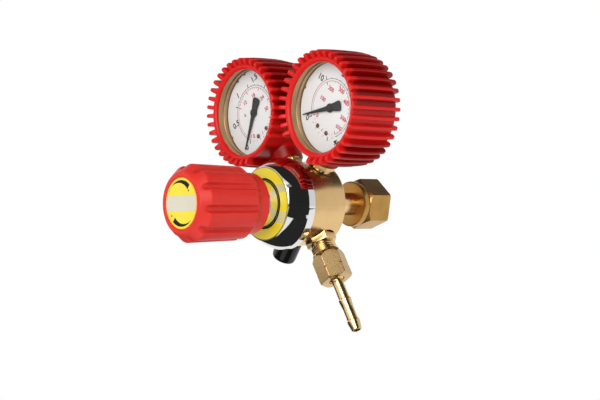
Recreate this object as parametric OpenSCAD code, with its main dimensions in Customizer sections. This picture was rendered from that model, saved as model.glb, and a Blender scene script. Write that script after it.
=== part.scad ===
// Single-stage acetylene pressure regulator with two gauges.
// Row frame: +Z up, knob toward -Y, inlet toward +Y, origin at the inlet sealing face.
// Radial pieces are drawn along local Z and turned to their port's angle.

/* [Body] */
// Radius of the round body
body_r = 27.5; // [26:0.5:31]
// Length of the body between its two faces
body_len = 28.3; // [27:0.1:34]
// How far the bonnet's flange stands out past the body
bonnet_lip = 2.2; // [1.8:0.1:4]
// Length of the bonnet in front of the body
bonnet_len = 17.7; // [16:0.1:22]

/* [Knob] */
// Radius over the knob's lobes
knob_r = 24.5; // [22.5:0.5:28]
// Length of the knob
knob_len = 54.6; // [50:0.2:62]
// Number of lobes round the knob
lobes = 10; // [8:1:12]

/* [Gauges] */
// Radius of the window opening in the rubber boot
gauge_r = 28.5; // [26:0.5:31]
// Number of ribs that would fit round one boot
rib_count = 36; // [32:2:42]
// Free gap between the two boots
boot_gap = 2.4; // [2:0.1:8]

/* [Inlet] */
// Width across flats of the inlet nut
inlet_nut_af = 30; // [29:0.5:34]
// Radius of the inlet nut's thread
inlet_thread_r = 11.456; // [10.5:0.001:11.8]
// Radius of the inlet stem
stem_r = 7.5; // [7.2:0.1:8.5]
// Free length of stem between the boss and the nut
stem_free = 18.7; // [15:0.1:26]

/* [Outlet] */
// Width across flats of the hose nut
outlet_nut_af = 19; // [18.5:0.5:22]
// Radius of the hose tail's tube
tail_r = 3.6; // [3.2:0.05:4.2]
// Length of the hose tail outside the nut
tail_len = 36.2; // [30:0.1:45]

/* [Hidden] */
$fn = 72;
eps = 0.02;
gap = 0.3;
run = 0.05;
screw_pitch = 1.5;

// Inlet end, from the sealing face towards the knob
gasket_t = 1.5;
collar_t = 4;
nut_wall = 3.5;
nut_mouth = 14;
collar_r = inlet_thread_r - 0.25;
nut_front = -(gasket_t + collar_t + gap + nut_wall);
nut_round_r = inlet_nut_af / 2 + 0.2;
inlet_bore_r = 3.2;
boss_r = 13.5;
boss_len = 9.4;
boss_end = nut_front - stem_free;
body_back = boss_end - boss_len;
body_front = body_back - body_len;
port_y = body_back - 10.6;
pipe_r = 6.58;
stem_screw_len = 12.5;

// Diaphragm stack
bonnet_r = body_r + bonnet_lip;
spigot_r = body_r - 1.6;
spigot_len = 4.2;
spigot_front = body_front - spigot_len;
diaphragm_t = 1.5;
clamp_t = 0.8;
clamp_front = spigot_front - diaphragm_t - clamp_t;
low_r = spigot_r - 5.9;
low_floor = body_front + 5.2;
high_r = 6;
nozzle_r = 4;
nozzle_rear = low_floor + 6;
orifice_r = 1.6;
valve_pin_r = 1.1;

// Bonnet
flange_front = body_front - 5.4;
label_y = body_front - bonnet_len;
label_r = bonnet_r - 6.35;
label_t = 0.35;
neck_r = 15;
neck_end = label_y - 20.6;
spring_well_r = 12.8;
well_front = neck_end + 5;
screw_r = 7;

// Knob
knob_back = label_y - 10.9;
knob_front = knob_back - knob_len;
knob_label_r = 15.87;
cavity_r = neck_r + 1.5;
cavity_end = knob_front + 14;
flute_r = 3.5;
flute_at = knob_r - 0.2;
flute_clock = 10;
button_front = well_front + gap;
button_t = 3;
button_rear = button_front + button_t;
plate_t = 2.5;
plate_front = clamp_front + clamp_t - plate_t;

// Gauges
case_r = gauge_r + 2.3;
boot_r = gauge_r + 3.8;
rib_r = gauge_r + 8.4;
rib_w = 2.6;
rib_draft = 0.2;
rib_front = 4;
free_outward = 15;
free_inward = 25;
gauge_reach = body_r + 7.1 + rib_r;
port_angle = asin((rib_r + boot_gap / 2) / gauge_reach);
opening_y = port_y - 22.5;
case_front = opening_y + 1;
case_back = port_y + 12.5;
boot_back = case_back + 2;
window_t = 1.4;
dial_y = port_y - 12.9;
dial_t = 0.8;
dial_r = gauge_r + 0.5;
spot_d = body_r - 2;
socket_bottom = spot_d - 10.5;
flange_d = body_r + 3;
skirt_d = flange_d + 1.9;

// Gauge movement
module_size = 0.45;
pinion_teeth = 8;
sector_teeth = 64;
pressure_angle = 25;
gear_reach = module_size * (pinion_teeth + sector_teeth) / 2;
sector_y = port_y - 8;
link_y = sector_y + 1.4;
plate_a_y = port_y - 10.5;
plate_b_y = plate_a_y + 6;
tail_arm = 6.5;
tail_turn = -20;
tube_mid_r = gauge_r - 6;
tube_w = 7;
pointer_y = dial_y - 1.5;
hub_bore_y = pointer_y + 0.4;
pointer_len = gauge_r - 2.5;
pointer_clock = 231;
rod_r = 0.8;

// Outlet and relief, distances measured from the regulator's axis
outlet_d = spot_d - 1;
adapter_d = outlet_d + 6.5;
outlet_thread_r = outlet_nut_af / 2 - 1.17;
nut_top = outlet_d + 12.8;
hose_nut_len = 20;
nut_end = nut_top + hose_nut_len;
barb_d = nut_end + 14;
tail_end = nut_end + tail_len;
relief_len = 19;
relief_end = outlet_d + relief_len;
cap_r = 8.2;

// Which node to draw

// Shared shapes

module turned(points) {
    rotate([-90, 0, 0]) rotate_extrude() polygon(points);
}

module disc(r, y0, y1) {
    translate([0, y0, 0]) rotate([-90, 0, 0]) cylinder(r = r, h = y1 - y0);
}

module slab(y0, y1) {
    translate([0, y1, 0]) rotate([90, 0, 0]) linear_extrude(y1 - y0) children();
}

module rod(x, z, r, y0, y1) {
    translate([x, 0, z]) disc(r, y0, y1);
}

module at_port(angle) {
    translate([0, port_y, 0]) rotate([0, angle, 0]) children();
}

module at_gauge(side) {
    rotate([0, side * port_angle, 0]) translate([0, 0, gauge_reach]) children();
}

module column(r, d0, d1) {
    translate([0, 0, d0]) cylinder(r = r, h = d1 - d0);
}

function coil_ring(r, wire, z, a, sides) = [for (j = [0:sides - 1])
    let (b = 360 * j / sides, q = r + wire * cos(b))
    [q * cos(a), q * sin(a), z + wire * sin(b)]];

module coil(r, wire, turns, length) {
    sides = 8;
    per_turn = 20;
    steps = ceil(turns * per_turn);
    rings = [for (i = [0:steps])
        coil_ring(r, wire, wire + (length - 2 * wire) * i / steps, 360 * turns * i / steps, sides)];
    points = [for (ring = rings) for (p = ring) p];
    walls = [for (i = [0:steps - 1]) for (j = [0:sides - 1])
        let (k = (j + 1) % sides)
        [i * sides + j, i * sides + k, (i + 1) * sides + k, (i + 1) * sides + j]];
    start = [for (j = [0:sides - 1]) sides - 1 - j];
    finish = [for (j = [0:sides - 1]) steps * sides + j];
    polyhedron(points, concat([start, finish], walls));
}

function roll(base, r) = r <= base ? 0 : let (a = acos(base / r)) tan(a) * 180 / PI - a;

function tooth(teeth, tip, root) =
    let (pitch_r = module_size * teeth / 2,
         base = pitch_r * cos(pressure_angle),
         low = pitch_r - root * module_size,
         high = pitch_r + tip * module_size,
         half = 90 / teeth - 0.045 * 180 / PI / pitch_r + roll(base, pitch_r),
         radii = [low, max(low + 0.01, base), pitch_r, (pitch_r + high) / 2, high])
    concat([for (r = radii) let (h = half - roll(base, r)) r * [sin(-h), cos(h)]],
           [for (i = [4:-1:0]) let (r = radii[i], h = half - roll(base, r)) r * [sin(h), cos(h)]]);

// Body and inlet

module port_cuts() {
    for (side = [-1, 1]) {
        at_port(side * port_angle) {
            column(10.5, spot_d, bonnet_r + 20);
            column(pipe_r, socket_bottom, spot_d + 1);
        }
        at_port(side * (180 - port_angle)) {
            column(10, outlet_d, bonnet_r + 20);
            column(pipe_r, socket_bottom, outlet_d + 1);
        }
    }
    at_port(port_angle) column(1.5, 4, socket_bottom + 1);
    for (a = [-port_angle, 180 - port_angle, port_angle - 180])
        rotate([0, a, 0]) translate([0, 0, socket_bottom + 1.8])
            disc(1.5, low_floor - 1, port_y);
}

module body() {
    color("goldenrod") difference() {
        union() {
            turned([[0, body_front], [body_r, body_front], [body_r, body_back - 1.4],
                    [body_r - 0.4, body_back - 0.4], [body_r - 1.4, body_back],
                    [boss_r + 2, body_back], [boss_r + 0.5, body_back + 0.6],
                    [boss_r, body_back + 2], [boss_r, boss_end - 0.8],
                    [boss_r - 0.8, boss_end], [0, boss_end]]);
            disc(spigot_r, spigot_front, body_front + eps);
        }
        disc(low_r, spigot_front - 1, low_floor);
        disc(nozzle_r, low_floor - 1, nozzle_rear);
        disc(high_r, nozzle_rear, boss_end - stem_screw_len);
        disc(pipe_r, boss_end - stem_screw_len, boss_end + 1);
        port_cuts();
    }
}

module inlet_stem() {
    filter_r = 4.2;
    color("darkgoldenrod") difference() {
        union() {
            disc(pipe_r, boss_end - stem_screw_len, boss_end);
            disc(stem_r, boss_end, -gasket_t - collar_t);
            disc(collar_r, -gasket_t - collar_t, -gasket_t);
        }
        disc(inlet_bore_r, boss_end - stem_screw_len - 1, 0);
        disc(filter_r, -gasket_t - 9, 0);
    }
}

module inlet_filter() {
    color("peru") difference() {
        disc(4.2, -gasket_t - 9, -gasket_t - 0.6);
        disc(2.4, -gasket_t - 7, 0);
    }
}

module inlet_gasket() {
    color("dimgray") difference() {
        disc(collar_r - 0.4, -gasket_t, 0);
        disc(6, -gasket_t - 1, 1);
    }
}

module inlet_nut() {
    corner = inlet_nut_af / sqrt(3);
    flat_start = nut_front + 5;
    color("darkgoldenrod") difference() {
        union() {
            turned([[0, nut_front], [nut_round_r - 0.7, nut_front], [nut_round_r, nut_front + 0.7],
                    [nut_round_r, flat_start + 0.2], [0, flat_start + 0.2]]);
            intersection() {
                slab(flat_start, nut_mouth) rotate(20.3) circle(r = corner, $fn = 6);
                turned([[0, flat_start], [nut_round_r, flat_start], [corner + 0.2, flat_start + 2.3],
                        [corner + 0.2, nut_mouth - 0.8], [corner - 1, nut_mouth], [0, nut_mouth]]);
            }
        }
        disc(stem_r + run + 0.01, nut_front - 1, nut_front + nut_wall + 1);
        disc(inlet_thread_r + 0.45, nut_front + nut_wall, 0);
        disc(inlet_thread_r, -eps, nut_mouth - 0.5);
        turned([[0, nut_mouth - 0.5], [inlet_thread_r, nut_mouth - 0.5],
                [inlet_thread_r + 0.6, nut_mouth + 0.1], [0, nut_mouth + 0.1]]);
    }
}

// Bonnet, diaphragm and adjuster

module bonnet() {
    shoulder = label_r + 0.35;
    slope = (bonnet_r - shoulder) / 6;
    color("silver") difference() {
        turned([[0, body_front], [bonnet_r - 0.3, body_front], [bonnet_r, body_front - 0.3],
                [bonnet_r, flange_front + 0.4], [bonnet_r - 0.4, flange_front],
                [bonnet_r - 0.7, flange_front], [bonnet_r - slope, flange_front - 1.6],
                [bonnet_r - 2.1 * slope, flange_front - 4.4], [bonnet_r - 3.5 * slope, label_y + 4.2],
                [bonnet_r - 4.8 * slope, label_y + 1.5], [shoulder + 0.35, label_y + 0.25],
                [shoulder, label_y], [neck_r, label_y],
                [neck_r, neck_end + 0.8], [neck_r - 0.8, neck_end], [0, neck_end]]);
        disc(spigot_r, clamp_front, body_front + 1);
        disc(low_r + 1, clamp_front - 4.5, clamp_front + 1);
        disc(spring_well_r, well_front, clamp_front);
        disc(screw_r + run, neck_end - 1, well_front + 1);
    }
}

module bonnet_label() {
    color("gold") difference() {
        disc(label_r, label_y - label_t, label_y);
        disc(neck_r + 0.7, label_y - 1, label_y + 1);
    }
}

module clamp_ring() {
    color("silver") difference() {
        disc(spigot_r - 0.1, clamp_front, clamp_front + clamp_t);
        disc(low_r + 1, clamp_front - 1, clamp_front + clamp_t + 1);
    }
}

module diaphragm() {
    color("black") disc(spigot_r - 0.2, clamp_front + clamp_t, spigot_front);
}

module diaphragm_plate() {
    color("silver") {
        turned([[0, plate_front - 3], [7.2, plate_front - 3], [8, plate_front - 2.2],
                [8, plate_front], [low_r - 4, plate_front], [low_r - 4, plate_front + plate_t],
                [0, plate_front + plate_t]]);
    }
}

module adjusting_spring() {
    color("gray") translate([0, button_rear, 0]) rotate([-90, 0, 0])
        coil(10.2, 1.3, 4.5, plate_front - button_rear);
}

module spring_button() {
    color("silver") difference() {
        turned([[0, button_front], [11.6, button_front], [12.3, button_front + 0.7],
                [12.3, button_rear], [8, button_rear], [8, button_rear + 1.4],
                [7.4, button_rear + 2], [0, button_rear + 2]]);
        disc(3 + run, button_front - 1, button_front + 1.2);
    }
}

module adjusting_screw() {
    color("gray") {
        turned([[0, cavity_end - 4], [screw_r - 1, cavity_end - 4], [screw_r, cavity_end - 3],
                [screw_r, button_front - gap - 0.8], [screw_r - 0.8, button_front - gap],
                [3, button_front - gap], [3, button_front + 0.6],
                [2.7, button_front + 0.9], [0, button_front + 0.9]]);
    }
}

module knob() {
    hub_end = cavity_end + 10;
    color("red") difference() {
        turned([[0, knob_front + 0.5], [knob_label_r + 0.25, knob_front + 0.5],
                [knob_label_r + 0.45, knob_front - 0.2], [knob_label_r + 0.9, knob_front - 0.4],
                [knob_r - 5.6, knob_front - 0.2], [knob_r - 4.9, knob_front + 0.2],
                [knob_r - 0.3, knob_front + 4.6], [knob_r, knob_front + 5.2],
                [knob_r - 1, knob_back - 10.2], [knob_r - 1.4, knob_back - 9.4],
                [knob_r - 4.3, knob_back - 5], [knob_r - 4.7, knob_back - 3.8],
                [knob_r - 5.1, knob_back - 0.5], [knob_r - 5.5, knob_back],
                [cavity_r, knob_back], [cavity_r, cavity_end], [screw_r + 3, cavity_end],
                [screw_r + 3, hub_end], [screw_r, hub_end], [screw_r, cavity_end - 4],
                [0, cavity_end - 4]]);
        for (i = [0:lobes - 1]) rotate([0, -flute_clock - (i + 0.5) * 360 / lobes, 0])
            rod(flute_at, 0, flute_r, knob_front - 2, knob_back + 1);
    }
}

module knob_label() {
    color("yellow") disc(knob_label_r, knob_front, knob_front + 0.5);
}

// Valve

module seat_nozzle() {
    color("goldenrod") difference() {
        union() {
            slab(low_floor - 3, low_floor) circle(r = 6.35, $fn = 6);
            disc(nozzle_r, low_floor - eps, nozzle_rear);
        }
        disc(orifice_r, low_floor - 4, nozzle_rear + 1);
    }
}

module poppet() {
    face = nozzle_rear + 0.1;
    color("goldenrod") {
        turned([[0, spigot_front + gap], [valve_pin_r, spigot_front + gap], [valve_pin_r, face],
                [3.6, face], [4.2, face + 0.6], [4.2, face + 6], [2.4, face + 6],
                [2.4, face + 10.5], [0, face + 10.5]]);
    }
}

module poppet_spring() {
    start = nozzle_rear + 6.1;
    color("gray") translate([0, start, 0]) rotate([-90, 0, 0])
        coil(3.5, 0.35, 6, boss_end - stem_screw_len - start);
}

// Outlet

module outlet_adapter() {
    corner = 8.75 * 2 / sqrt(3);
    color("goldenrod") at_port(180 - port_angle) difference() {
        union() {
            column(pipe_r, outlet_d - 7, outlet_d);
            intersection() {
                translate([0, 0, outlet_d]) rotate([0, 0, 18]) cylinder(r = corner, h = 6.5, $fn = 6);
                rotate_extrude() polygon([[0, outlet_d], [8.9, outlet_d], [corner, outlet_d + 0.9],
                    [corner, adapter_d - 0.9], [8.9, adapter_d], [0, adapter_d]]);
            }
            column(outlet_thread_r - 0.9, adapter_d - eps, adapter_d + 1.6);
            rotate_extrude() polygon([[0, adapter_d + 1.5], [outlet_thread_r - 0.9, adapter_d + 1.5],
                [outlet_thread_r - run, adapter_d + 2.3], [outlet_thread_r - run, nut_top + 6.4],
                [outlet_thread_r - 0.9, nut_top + 7.2], [0, nut_top + 7.2]]);
        }
        column(2.6, outlet_d - 8, nut_top + 8);
        rotate_extrude() polygon([[0, nut_top + 4.2], [2.6, nut_top + 4.2], [6.2, nut_top + 7.8],
            [0, nut_top + 7.8]]);
    }
}

module outlet_nut() {
    corner = outlet_nut_af / sqrt(3);
    color("darkgoldenrod") at_port(180 - port_angle) difference() {
        intersection() {
            translate([0, 0, nut_top]) rotate([0, 0, 4.5])
                cylinder(r = corner, h = nut_end - nut_top, $fn = 6);
            rotate_extrude() polygon([[0, nut_top], [outlet_nut_af / 2 - 0.6, nut_top],
                [outlet_nut_af / 2 - 0.5, nut_top + 1.2], [corner + 0.1, nut_top + 4.7],
                [corner + 0.1, nut_end - 1.1], [corner - 1, nut_end], [0, nut_end]]);
        }
        rotate_extrude() polygon([[outlet_nut_af / 2 + 0.4, nut_top + 12.2],
            [corner + 1, nut_top + 11.2], [corner + 1, nut_top + 13.2]]);
        column(outlet_thread_r, nut_top - 1, nut_top + 13);
        column(5.2, nut_top + 12, nut_end + 1);
    }
}

module hose_tail() {
    seat = nut_top + 7.8;
    color("goldenrod") at_port(180 - port_angle) difference() {
        rotate_extrude() polygon([[0, nut_top + 5.6], [3.3, nut_top + 5.6], [6.1, seat + gap],
            [7.6, seat + gap + 0.8], [7.6, nut_top + 13 - gap], [5.2 - run, nut_top + 13 - gap],
            [5.2 - run, nut_end - 0.8], [4.7, nut_end - 0.3], [tail_r, nut_end + 0.2],
            [tail_r, barb_d], [tail_r + 0.6, barb_d + 0.3], [tail_r + 0.6, barb_d + 1.2],
            [tail_r - 0.05, barb_d + 7], [tail_r - 0.05, tail_end - 7.2],
            [tail_r + 0.55, tail_end - 6.9], [tail_r + 0.5, tail_end - 6],
            [tail_r - 0.3, tail_end - 0.4], [tail_r - 0.7, tail_end], [0, tail_end]]);
        column(2.2, nut_top + 4, tail_end + 1);
    }
}

// Relief valve

module relief_body() {
    color("goldenrod") at_port(port_angle - 180) difference() {
        union() {
            column(pipe_r, outlet_d - 7, outlet_d);
            translate([0, 0, outlet_d]) cylinder(r = 8.66, h = 4, $fn = 6);
            column(6, outlet_d + 4 - eps, relief_end - 5.5);
        }
        column(1.2, outlet_d - 8, outlet_d);
        column(3.4, outlet_d - 3, relief_end - 7.5);
        column(1, outlet_d, relief_end);
    }
}

module relief_poppet() {
    color("dimgray") at_port(port_angle - 180)
        rotate_extrude() polygon([[0, outlet_d - 2.9], [2.4, outlet_d - 2.9], [3.3, outlet_d - 2],
            [3.3, outlet_d + 1.6], [1.6, outlet_d + 1.6], [1.6, outlet_d + 5.2], [0, outlet_d + 5.2]]);
}

module relief_spring() {
    color("gray") at_port(port_angle - 180) translate([0, 0, outlet_d + 1.6])
        coil(2.5, 0.35, 6, relief_end - 7.5 - outlet_d - 1.6);
}

module relief_cap() {
    color("black") at_port(port_angle - 180) difference() {
        rotate_extrude() polygon([[6, outlet_d + 4.3], [cap_r - 0.4, outlet_d + 4.3],
            [cap_r, outlet_d + 4.7], [cap_r - 0.1, relief_end - 3], [cap_r - 0.5, relief_end - 1.3],
            [cap_r - 1.3, relief_end - 0.4], [cap_r - 2.4, relief_end], [0, relief_end],
            [0, relief_end - 3], [6, relief_end - 3]]);
        column(1.2, relief_end - 4, relief_end + 1);
    }
}

// Gauges

module gauge_socket(side) {
    back = gauge_reach;
    block_y = plate_b_y + 1;
    color("goldenrod") at_gauge(side) difference() {
        union() {
            translate([0, port_y, -back]) {
                column(pipe_r, spot_d - 6, spot_d);
                column(7, spot_d, flange_d + eps);
                column(11.3, flange_d, flange_d + 1.6);
                column(8.2, flange_d + 1.6 - eps, back - case_r + 4);
            }
            translate([-7, block_y, -case_r + 3]) cube([14, 8, case_r - 23.5]);
        }
        tube_shape(0);
        translate([0, port_y, -back]) column(1.5, spot_d - 7, back - case_r + 6);
    }
}

module gauge_washer(side) {
    color("sienna") at_gauge(side) translate([0, port_y, -gauge_reach]) difference() {
        column(9.4, spot_d, spot_d + 1.2);
        column(7, spot_d - 1, spot_d + 2);
    }
}

module tube_shape(wall) {
    half = 1.2 - wall;
    wide = tube_w / 2 - wall;
    translate([0, port_y, 0]) rotate([-90, 0, 0]) rotate([0, 0, 102]) rotate_extrude(angle = 278)
        polygon([[tube_mid_r - half, -wide], [tube_mid_r + half, -wide],
                 [tube_mid_r + half, wide], [tube_mid_r - half, wide]]);
}

module bourdon_tube(side) {
    color("peru") at_gauge(side) {
        difference() {
            union() {
                tube_shape(0);
                rotate([0, 20, 0]) translate([tube_mid_r - 5.8, link_y + 1, -1.8])
                    cube([7, plate_b_y + 3 - link_y - 1, 3.6]);
            }
            difference() {
                tube_shape(0.4);
                rotate([0, 20, 0]) translate([tube_mid_r - 6.2, port_y - 10, -2.6]) cube([14, 20, 5]);
            }
            link_hole(0.6);
        }
    }
}

module link_hole(r) {
    rotate([0, 20, 0]) rod(tube_mid_r - 4.3, 0, r, link_y - 1, plate_b_y + 2);
}

module gauge_case(side) {
    wall = 1.2;
    inner = case_r - wall;
    color("tan") at_gauge(side) difference() {
        turned([[inner, case_front], [case_r, case_front], [case_r, case_back - 1.5],
                [case_r - 0.45, case_back - 0.45], [case_r - 1.5, case_back], [5, case_back],
                [5, case_back - 0.6], [4, case_back - 0.6], [4, case_back - wall],
                [inner - 1, case_back - wall], [inner, case_back - wall - 1],
                [inner, dial_y + dial_t + 1.4], [inner - 2.2, dial_y + dial_t + 1.4],
                [inner - 2.2, dial_y + dial_t], [inner, dial_y + dial_t],
                [inner, dial_y - 1.5], [inner - 0.7, dial_y - 1.7],
                [inner - 0.7, dial_y - 3.4], [inner, dial_y - 3.8]]);
        translate([0, port_y, -gauge_reach]) column(8.2 + run, flange_d, gauge_reach);
    }
}

module rib_outline(side) {
    root = rib_w / 2 + rib_draft;
    crest = rib_w / 2 - rib_draft;
    for (i = [0:rib_count - 1]) {
        c = i * 360 / rib_count;
        outward = side * (180 - c);
        if (outward > free_outward || outward < -free_inward) rotate(-c)
            polygon([[-root, boot_r - 1], [-crest, rib_r + 1], [crest, rib_r + 1], [root, boot_r - 1]]);
    }
}

module gauge_boot(side) {
    color("red") at_gauge(side) difference() {
        union() {
            turned([[gauge_r, case_front + 2], [gauge_r, opening_y + 0.3], [gauge_r + 0.15, opening_y],
                    [gauge_r + 0.8, opening_y - 0.9], [gauge_r + 1.6, opening_y - 1.4],
                    [boot_r - 1.4, opening_y - 1.5], [boot_r - 0.5, opening_y - 1.1],
                    [boot_r, opening_y], [boot_r, boot_back - 3.4],
                    [boot_r - 0.6, boot_back - 1.5], [boot_r - 2.2, boot_back - 0.3],
                    [boot_r - 3.2, boot_back], [case_r - 5, boot_back], [case_r - 5, case_back - 2]]);
            intersection() {
                slab(opening_y - rib_front, boot_back) rib_outline(side);
                turned([[boot_r - 0.9, opening_y + 0.6], [boot_r - 1.8, opening_y - 1.2],
                        [boot_r - 0.4, opening_y - 2.6], [boot_r + 1.4, opening_y - rib_front + 0.3],
                        [boot_r + 2.6, opening_y - rib_front], [rib_r - 1.5, opening_y - rib_front + 0.2],
                        [rib_r - 0.8, opening_y - 2.7], [rib_r, opening_y + 13], [rib_r, port_y],
                        [rib_r - 1, boot_back - 2.6], [rib_r - 1.7, boot_back - 0.7],
                        [rib_r - 3, boot_back], [boot_r - 0.2, boot_back - 0.8],
                        [boot_r - 0.9, boot_back - 2.4]]);
            }
            translate([0, port_y, -gauge_reach]) difference() {
                translate([0, 0, skirt_d])
                    cylinder(r1 = 10.6, r2 = 13, h = gauge_reach - case_r + 3 - skirt_d);
                column(8.6, skirt_d - 1, gauge_reach);
            }
        }
        turned([[0, case_front], [case_r, case_front], [case_r, case_back - 1.5],
                [case_r - 0.45, case_back - 0.45], [case_r - 1.5, case_back], [0, case_back]]);
        translate([0, port_y, -gauge_reach]) column(8.6, skirt_d - 1, gauge_reach);
    }
}

module gauge_window(side) {
    color("white", 0.3) at_gauge(side) disc(case_r - 1.25, case_front, case_front + window_t);
}

module gauge_dial(side) {
    color("white") at_gauge(side) difference() {
        disc(dial_r, dial_y, dial_y + dial_t);
        disc(2, dial_y - 1, dial_y + 2);
        for (c = [9, 352, 268, side > 0 ? 136 : 186])
            rod(dial_r * sin(c), dial_r * cos(c), 1.2, dial_y - 1, dial_y + 2);
        for (x = [-4.8, 4.8]) rod(x, -15.6, rod_r, dial_y - 1, dial_y + 2);
    }
}

module dial_screws(side) {
    color("sienna") at_gauge(side) for (x = [-4.8, 4.8]) translate([x, 0, -15.6]) difference() {
        turned([[0, dial_y - 0.8], [1.1, dial_y - 0.8], [1.45, dial_y - 0.4], [1.45, dial_y],
                [rod_r, dial_y], [rod_r, plate_a_y - 0.4], [0, plate_a_y - 0.4]]);
        translate([-0.2, dial_y - 1, -2]) cube([0.4, 0.6, 4]);
    }
}

module movement_outline() {
    intersection() {
        translate([0, -6.5]) circle(r = 15);
        translate([-13, -20]) square([26, 28]);
    }
}

module movement(side) {
    color("goldenrod") at_gauge(side) difference() {
        union() {
            slab(plate_a_y, plate_a_y + 1) movement_outline();
            slab(plate_b_y, plate_b_y + 1) union() {
                movement_outline();
                translate([-6, -25]) square([12, 6]);
            }
            for (p = [[-10, -12.5], [-7.5, 4], [7.5, 4]])
                rod(p[0], p[1], 1.5, plate_a_y + 1 - eps, plate_b_y + eps);
            for (x = [-4.8, 4.8]) rod(x, -15.6, 1.6, dial_y + dial_t, plate_a_y + eps);
        }
        for (x = [-4.8, 4.8]) rod(x, -15.6, rod_r, dial_y, plate_a_y - 0.3);
        rod(0, 0, rod_r + run, plate_a_y - 1, plate_b_y + 2);
        rod(0, -gear_reach, rod_r + run, plate_a_y - 1, plate_b_y + 2);
    }
}

module pinion(side) {
    color("goldenrod") at_gauge(side) {
        disc(rod_r, hub_bore_y, plate_b_y + 1.3);
        slab(sector_y - 0.4, sector_y + 1.2) {
            circle(r = module_size * (pinion_teeth / 2 - 0.85));
            for (i = [0:pinion_teeth - 1]) rotate(180 + i * 360 / pinion_teeth)
                polygon(tooth(pinion_teeth, 0.9, 1.6));
        }
    }
}

module sector(side) {
    rim = module_size * (sector_teeth / 2 - 1.35);
    color("darkgoldenrod") at_gauge(side) translate([0, 0, -gear_reach]) difference() {
        union() {
            disc(rod_r, plate_a_y - 0.3, plate_b_y + 1.3);
            slab(sector_y, sector_y + 0.8) {
                circle(r = 2.6);
                polygon(concat([[-1.6, 0]], [for (a = [-8:5:42]) rim * [sin(a), cos(a)]], [[1.9, -1.2]]));
                for (i = [-1:6]) rotate(-(i + 0.5) * 360 / sector_teeth)
                    polygon(tooth(sector_teeth, 0.6, 1.45));
                rotate(tail_turn) translate([0, -1.3]) square([tail_arm, 2.6]);
                rotate(tail_turn) translate([tail_arm, 0]) circle(r = 1.3);
            }
            rotate([0, -tail_turn, 0]) rod(tail_arm, 0, 0.5, sector_y + 0.8 - eps, link_y + 1.1);
        }
        rotate([0, 17, 0]) rod(0, 9, 1.8, sector_y - 1, sector_y + 2);
    }
}

module link(side) {
    tail = [tail_arm * cos(tail_turn), -gear_reach + tail_arm * sin(tail_turn)];
    far = (tube_mid_r - 4.3) * [cos(-20), sin(-20)];
    span = norm(far - tail);
    lean = atan2(far[1] - tail[1], far[0] - tail[0]);
    color("silver") at_gauge(side) {
        difference() {
            slab(link_y, link_y + 0.7) translate(tail) rotate(lean) union() {
                circle(r = 1.2);
                translate([0, -0.7]) square([span, 1.4]);
                translate([span, 0]) circle(r = 1.2);
            }
            rod(tail[0], tail[1], 0.5 + run, link_y - 1, link_y + 2);
        }
        rod(far[0], far[1], 0.5, link_y + 0.7 - eps, plate_b_y + 0.4);
    }
}

module pointer(side) {
    color("black") at_gauge(side) rotate([0, pointer_clock, 0]) difference() {
        union() {
            slab(pointer_y, pointer_y + 0.6) {
                polygon([[-1.3, 0], [-0.35, pointer_len], [0.35, pointer_len], [1.3, 0]]);
                polygon([[-2.4, 0], [-3.4, -8.2], [3.4, -8.2], [2.4, 0]]);
                translate([-2.1, -10.3]) square([4.2, 3]);
                for (x = [-2.1, 2.1]) translate([x, -9]) circle(r = 1.3);
            }
            disc(2.9, pointer_y - 0.5, pointer_y + 1.1);
        }
        disc(rod_r, hub_bore_y, pointer_y + 2);
    }
}

module vent_plug(side) {
    color("dimgray") at_gauge(side)
        turned([[0, case_back - 0.6], [5, case_back - 0.6], [5, case_back], [6.5, case_back],
                [6.5, case_back + 0.7], [5.8, case_back + 1.2], [0, case_back + 1.2]]);
}

// Every node by name

body();
inlet_stem();
inlet_nut();
inlet_gasket();
inlet_filter();
bonnet();
bonnet_label();
clamp_ring();
diaphragm();
diaphragm_plate();
adjusting_spring();
spring_button();
adjusting_screw();
knob();
knob_label();
seat_nozzle();
poppet();
poppet_spring();
outlet_adapter();
outlet_nut();
hose_tail();
relief_body();
relief_poppet();
relief_spring();
relief_cap();
gauge_socket(-1);  // socket_low
gauge_washer(-1);  // washer_low
gauge_case(-1);  // case_low
gauge_boot(-1);  // boot_low
gauge_window(-1);  // window_low
gauge_dial(-1);  // dial_low
dial_screws(-1);  // dial_screws_low
movement(-1);  // movement_low
pinion(-1);  // pinion_low
sector(-1);  // sector_low
link(-1);  // link_low
pointer(-1);  // pointer_low
bourdon_tube(-1);  // bourdon_tube_low
vent_plug(-1);  // vent_plug_low
gauge_socket(1);  // socket_high
gauge_washer(1);  // washer_high
gauge_case(1);  // case_high
gauge_boot(1);  // boot_high
gauge_window(1);  // window_high
gauge_dial(1);  // dial_high
dial_screws(1);  // dial_screws_high
movement(1);  // movement_high
pinion(1);  // pinion_high
sector(1);  // sector_high
link(1);  // link_high
pointer(1);  // pointer_high
bourdon_tube(1);  // bourdon_tube_high
vent_plug(1);  // vent_plug_high
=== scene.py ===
# Acetylene regulator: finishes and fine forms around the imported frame. Lengths are in mm unless noted.
import math

import bpy
from mathutils import Matrix, Vector


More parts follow.
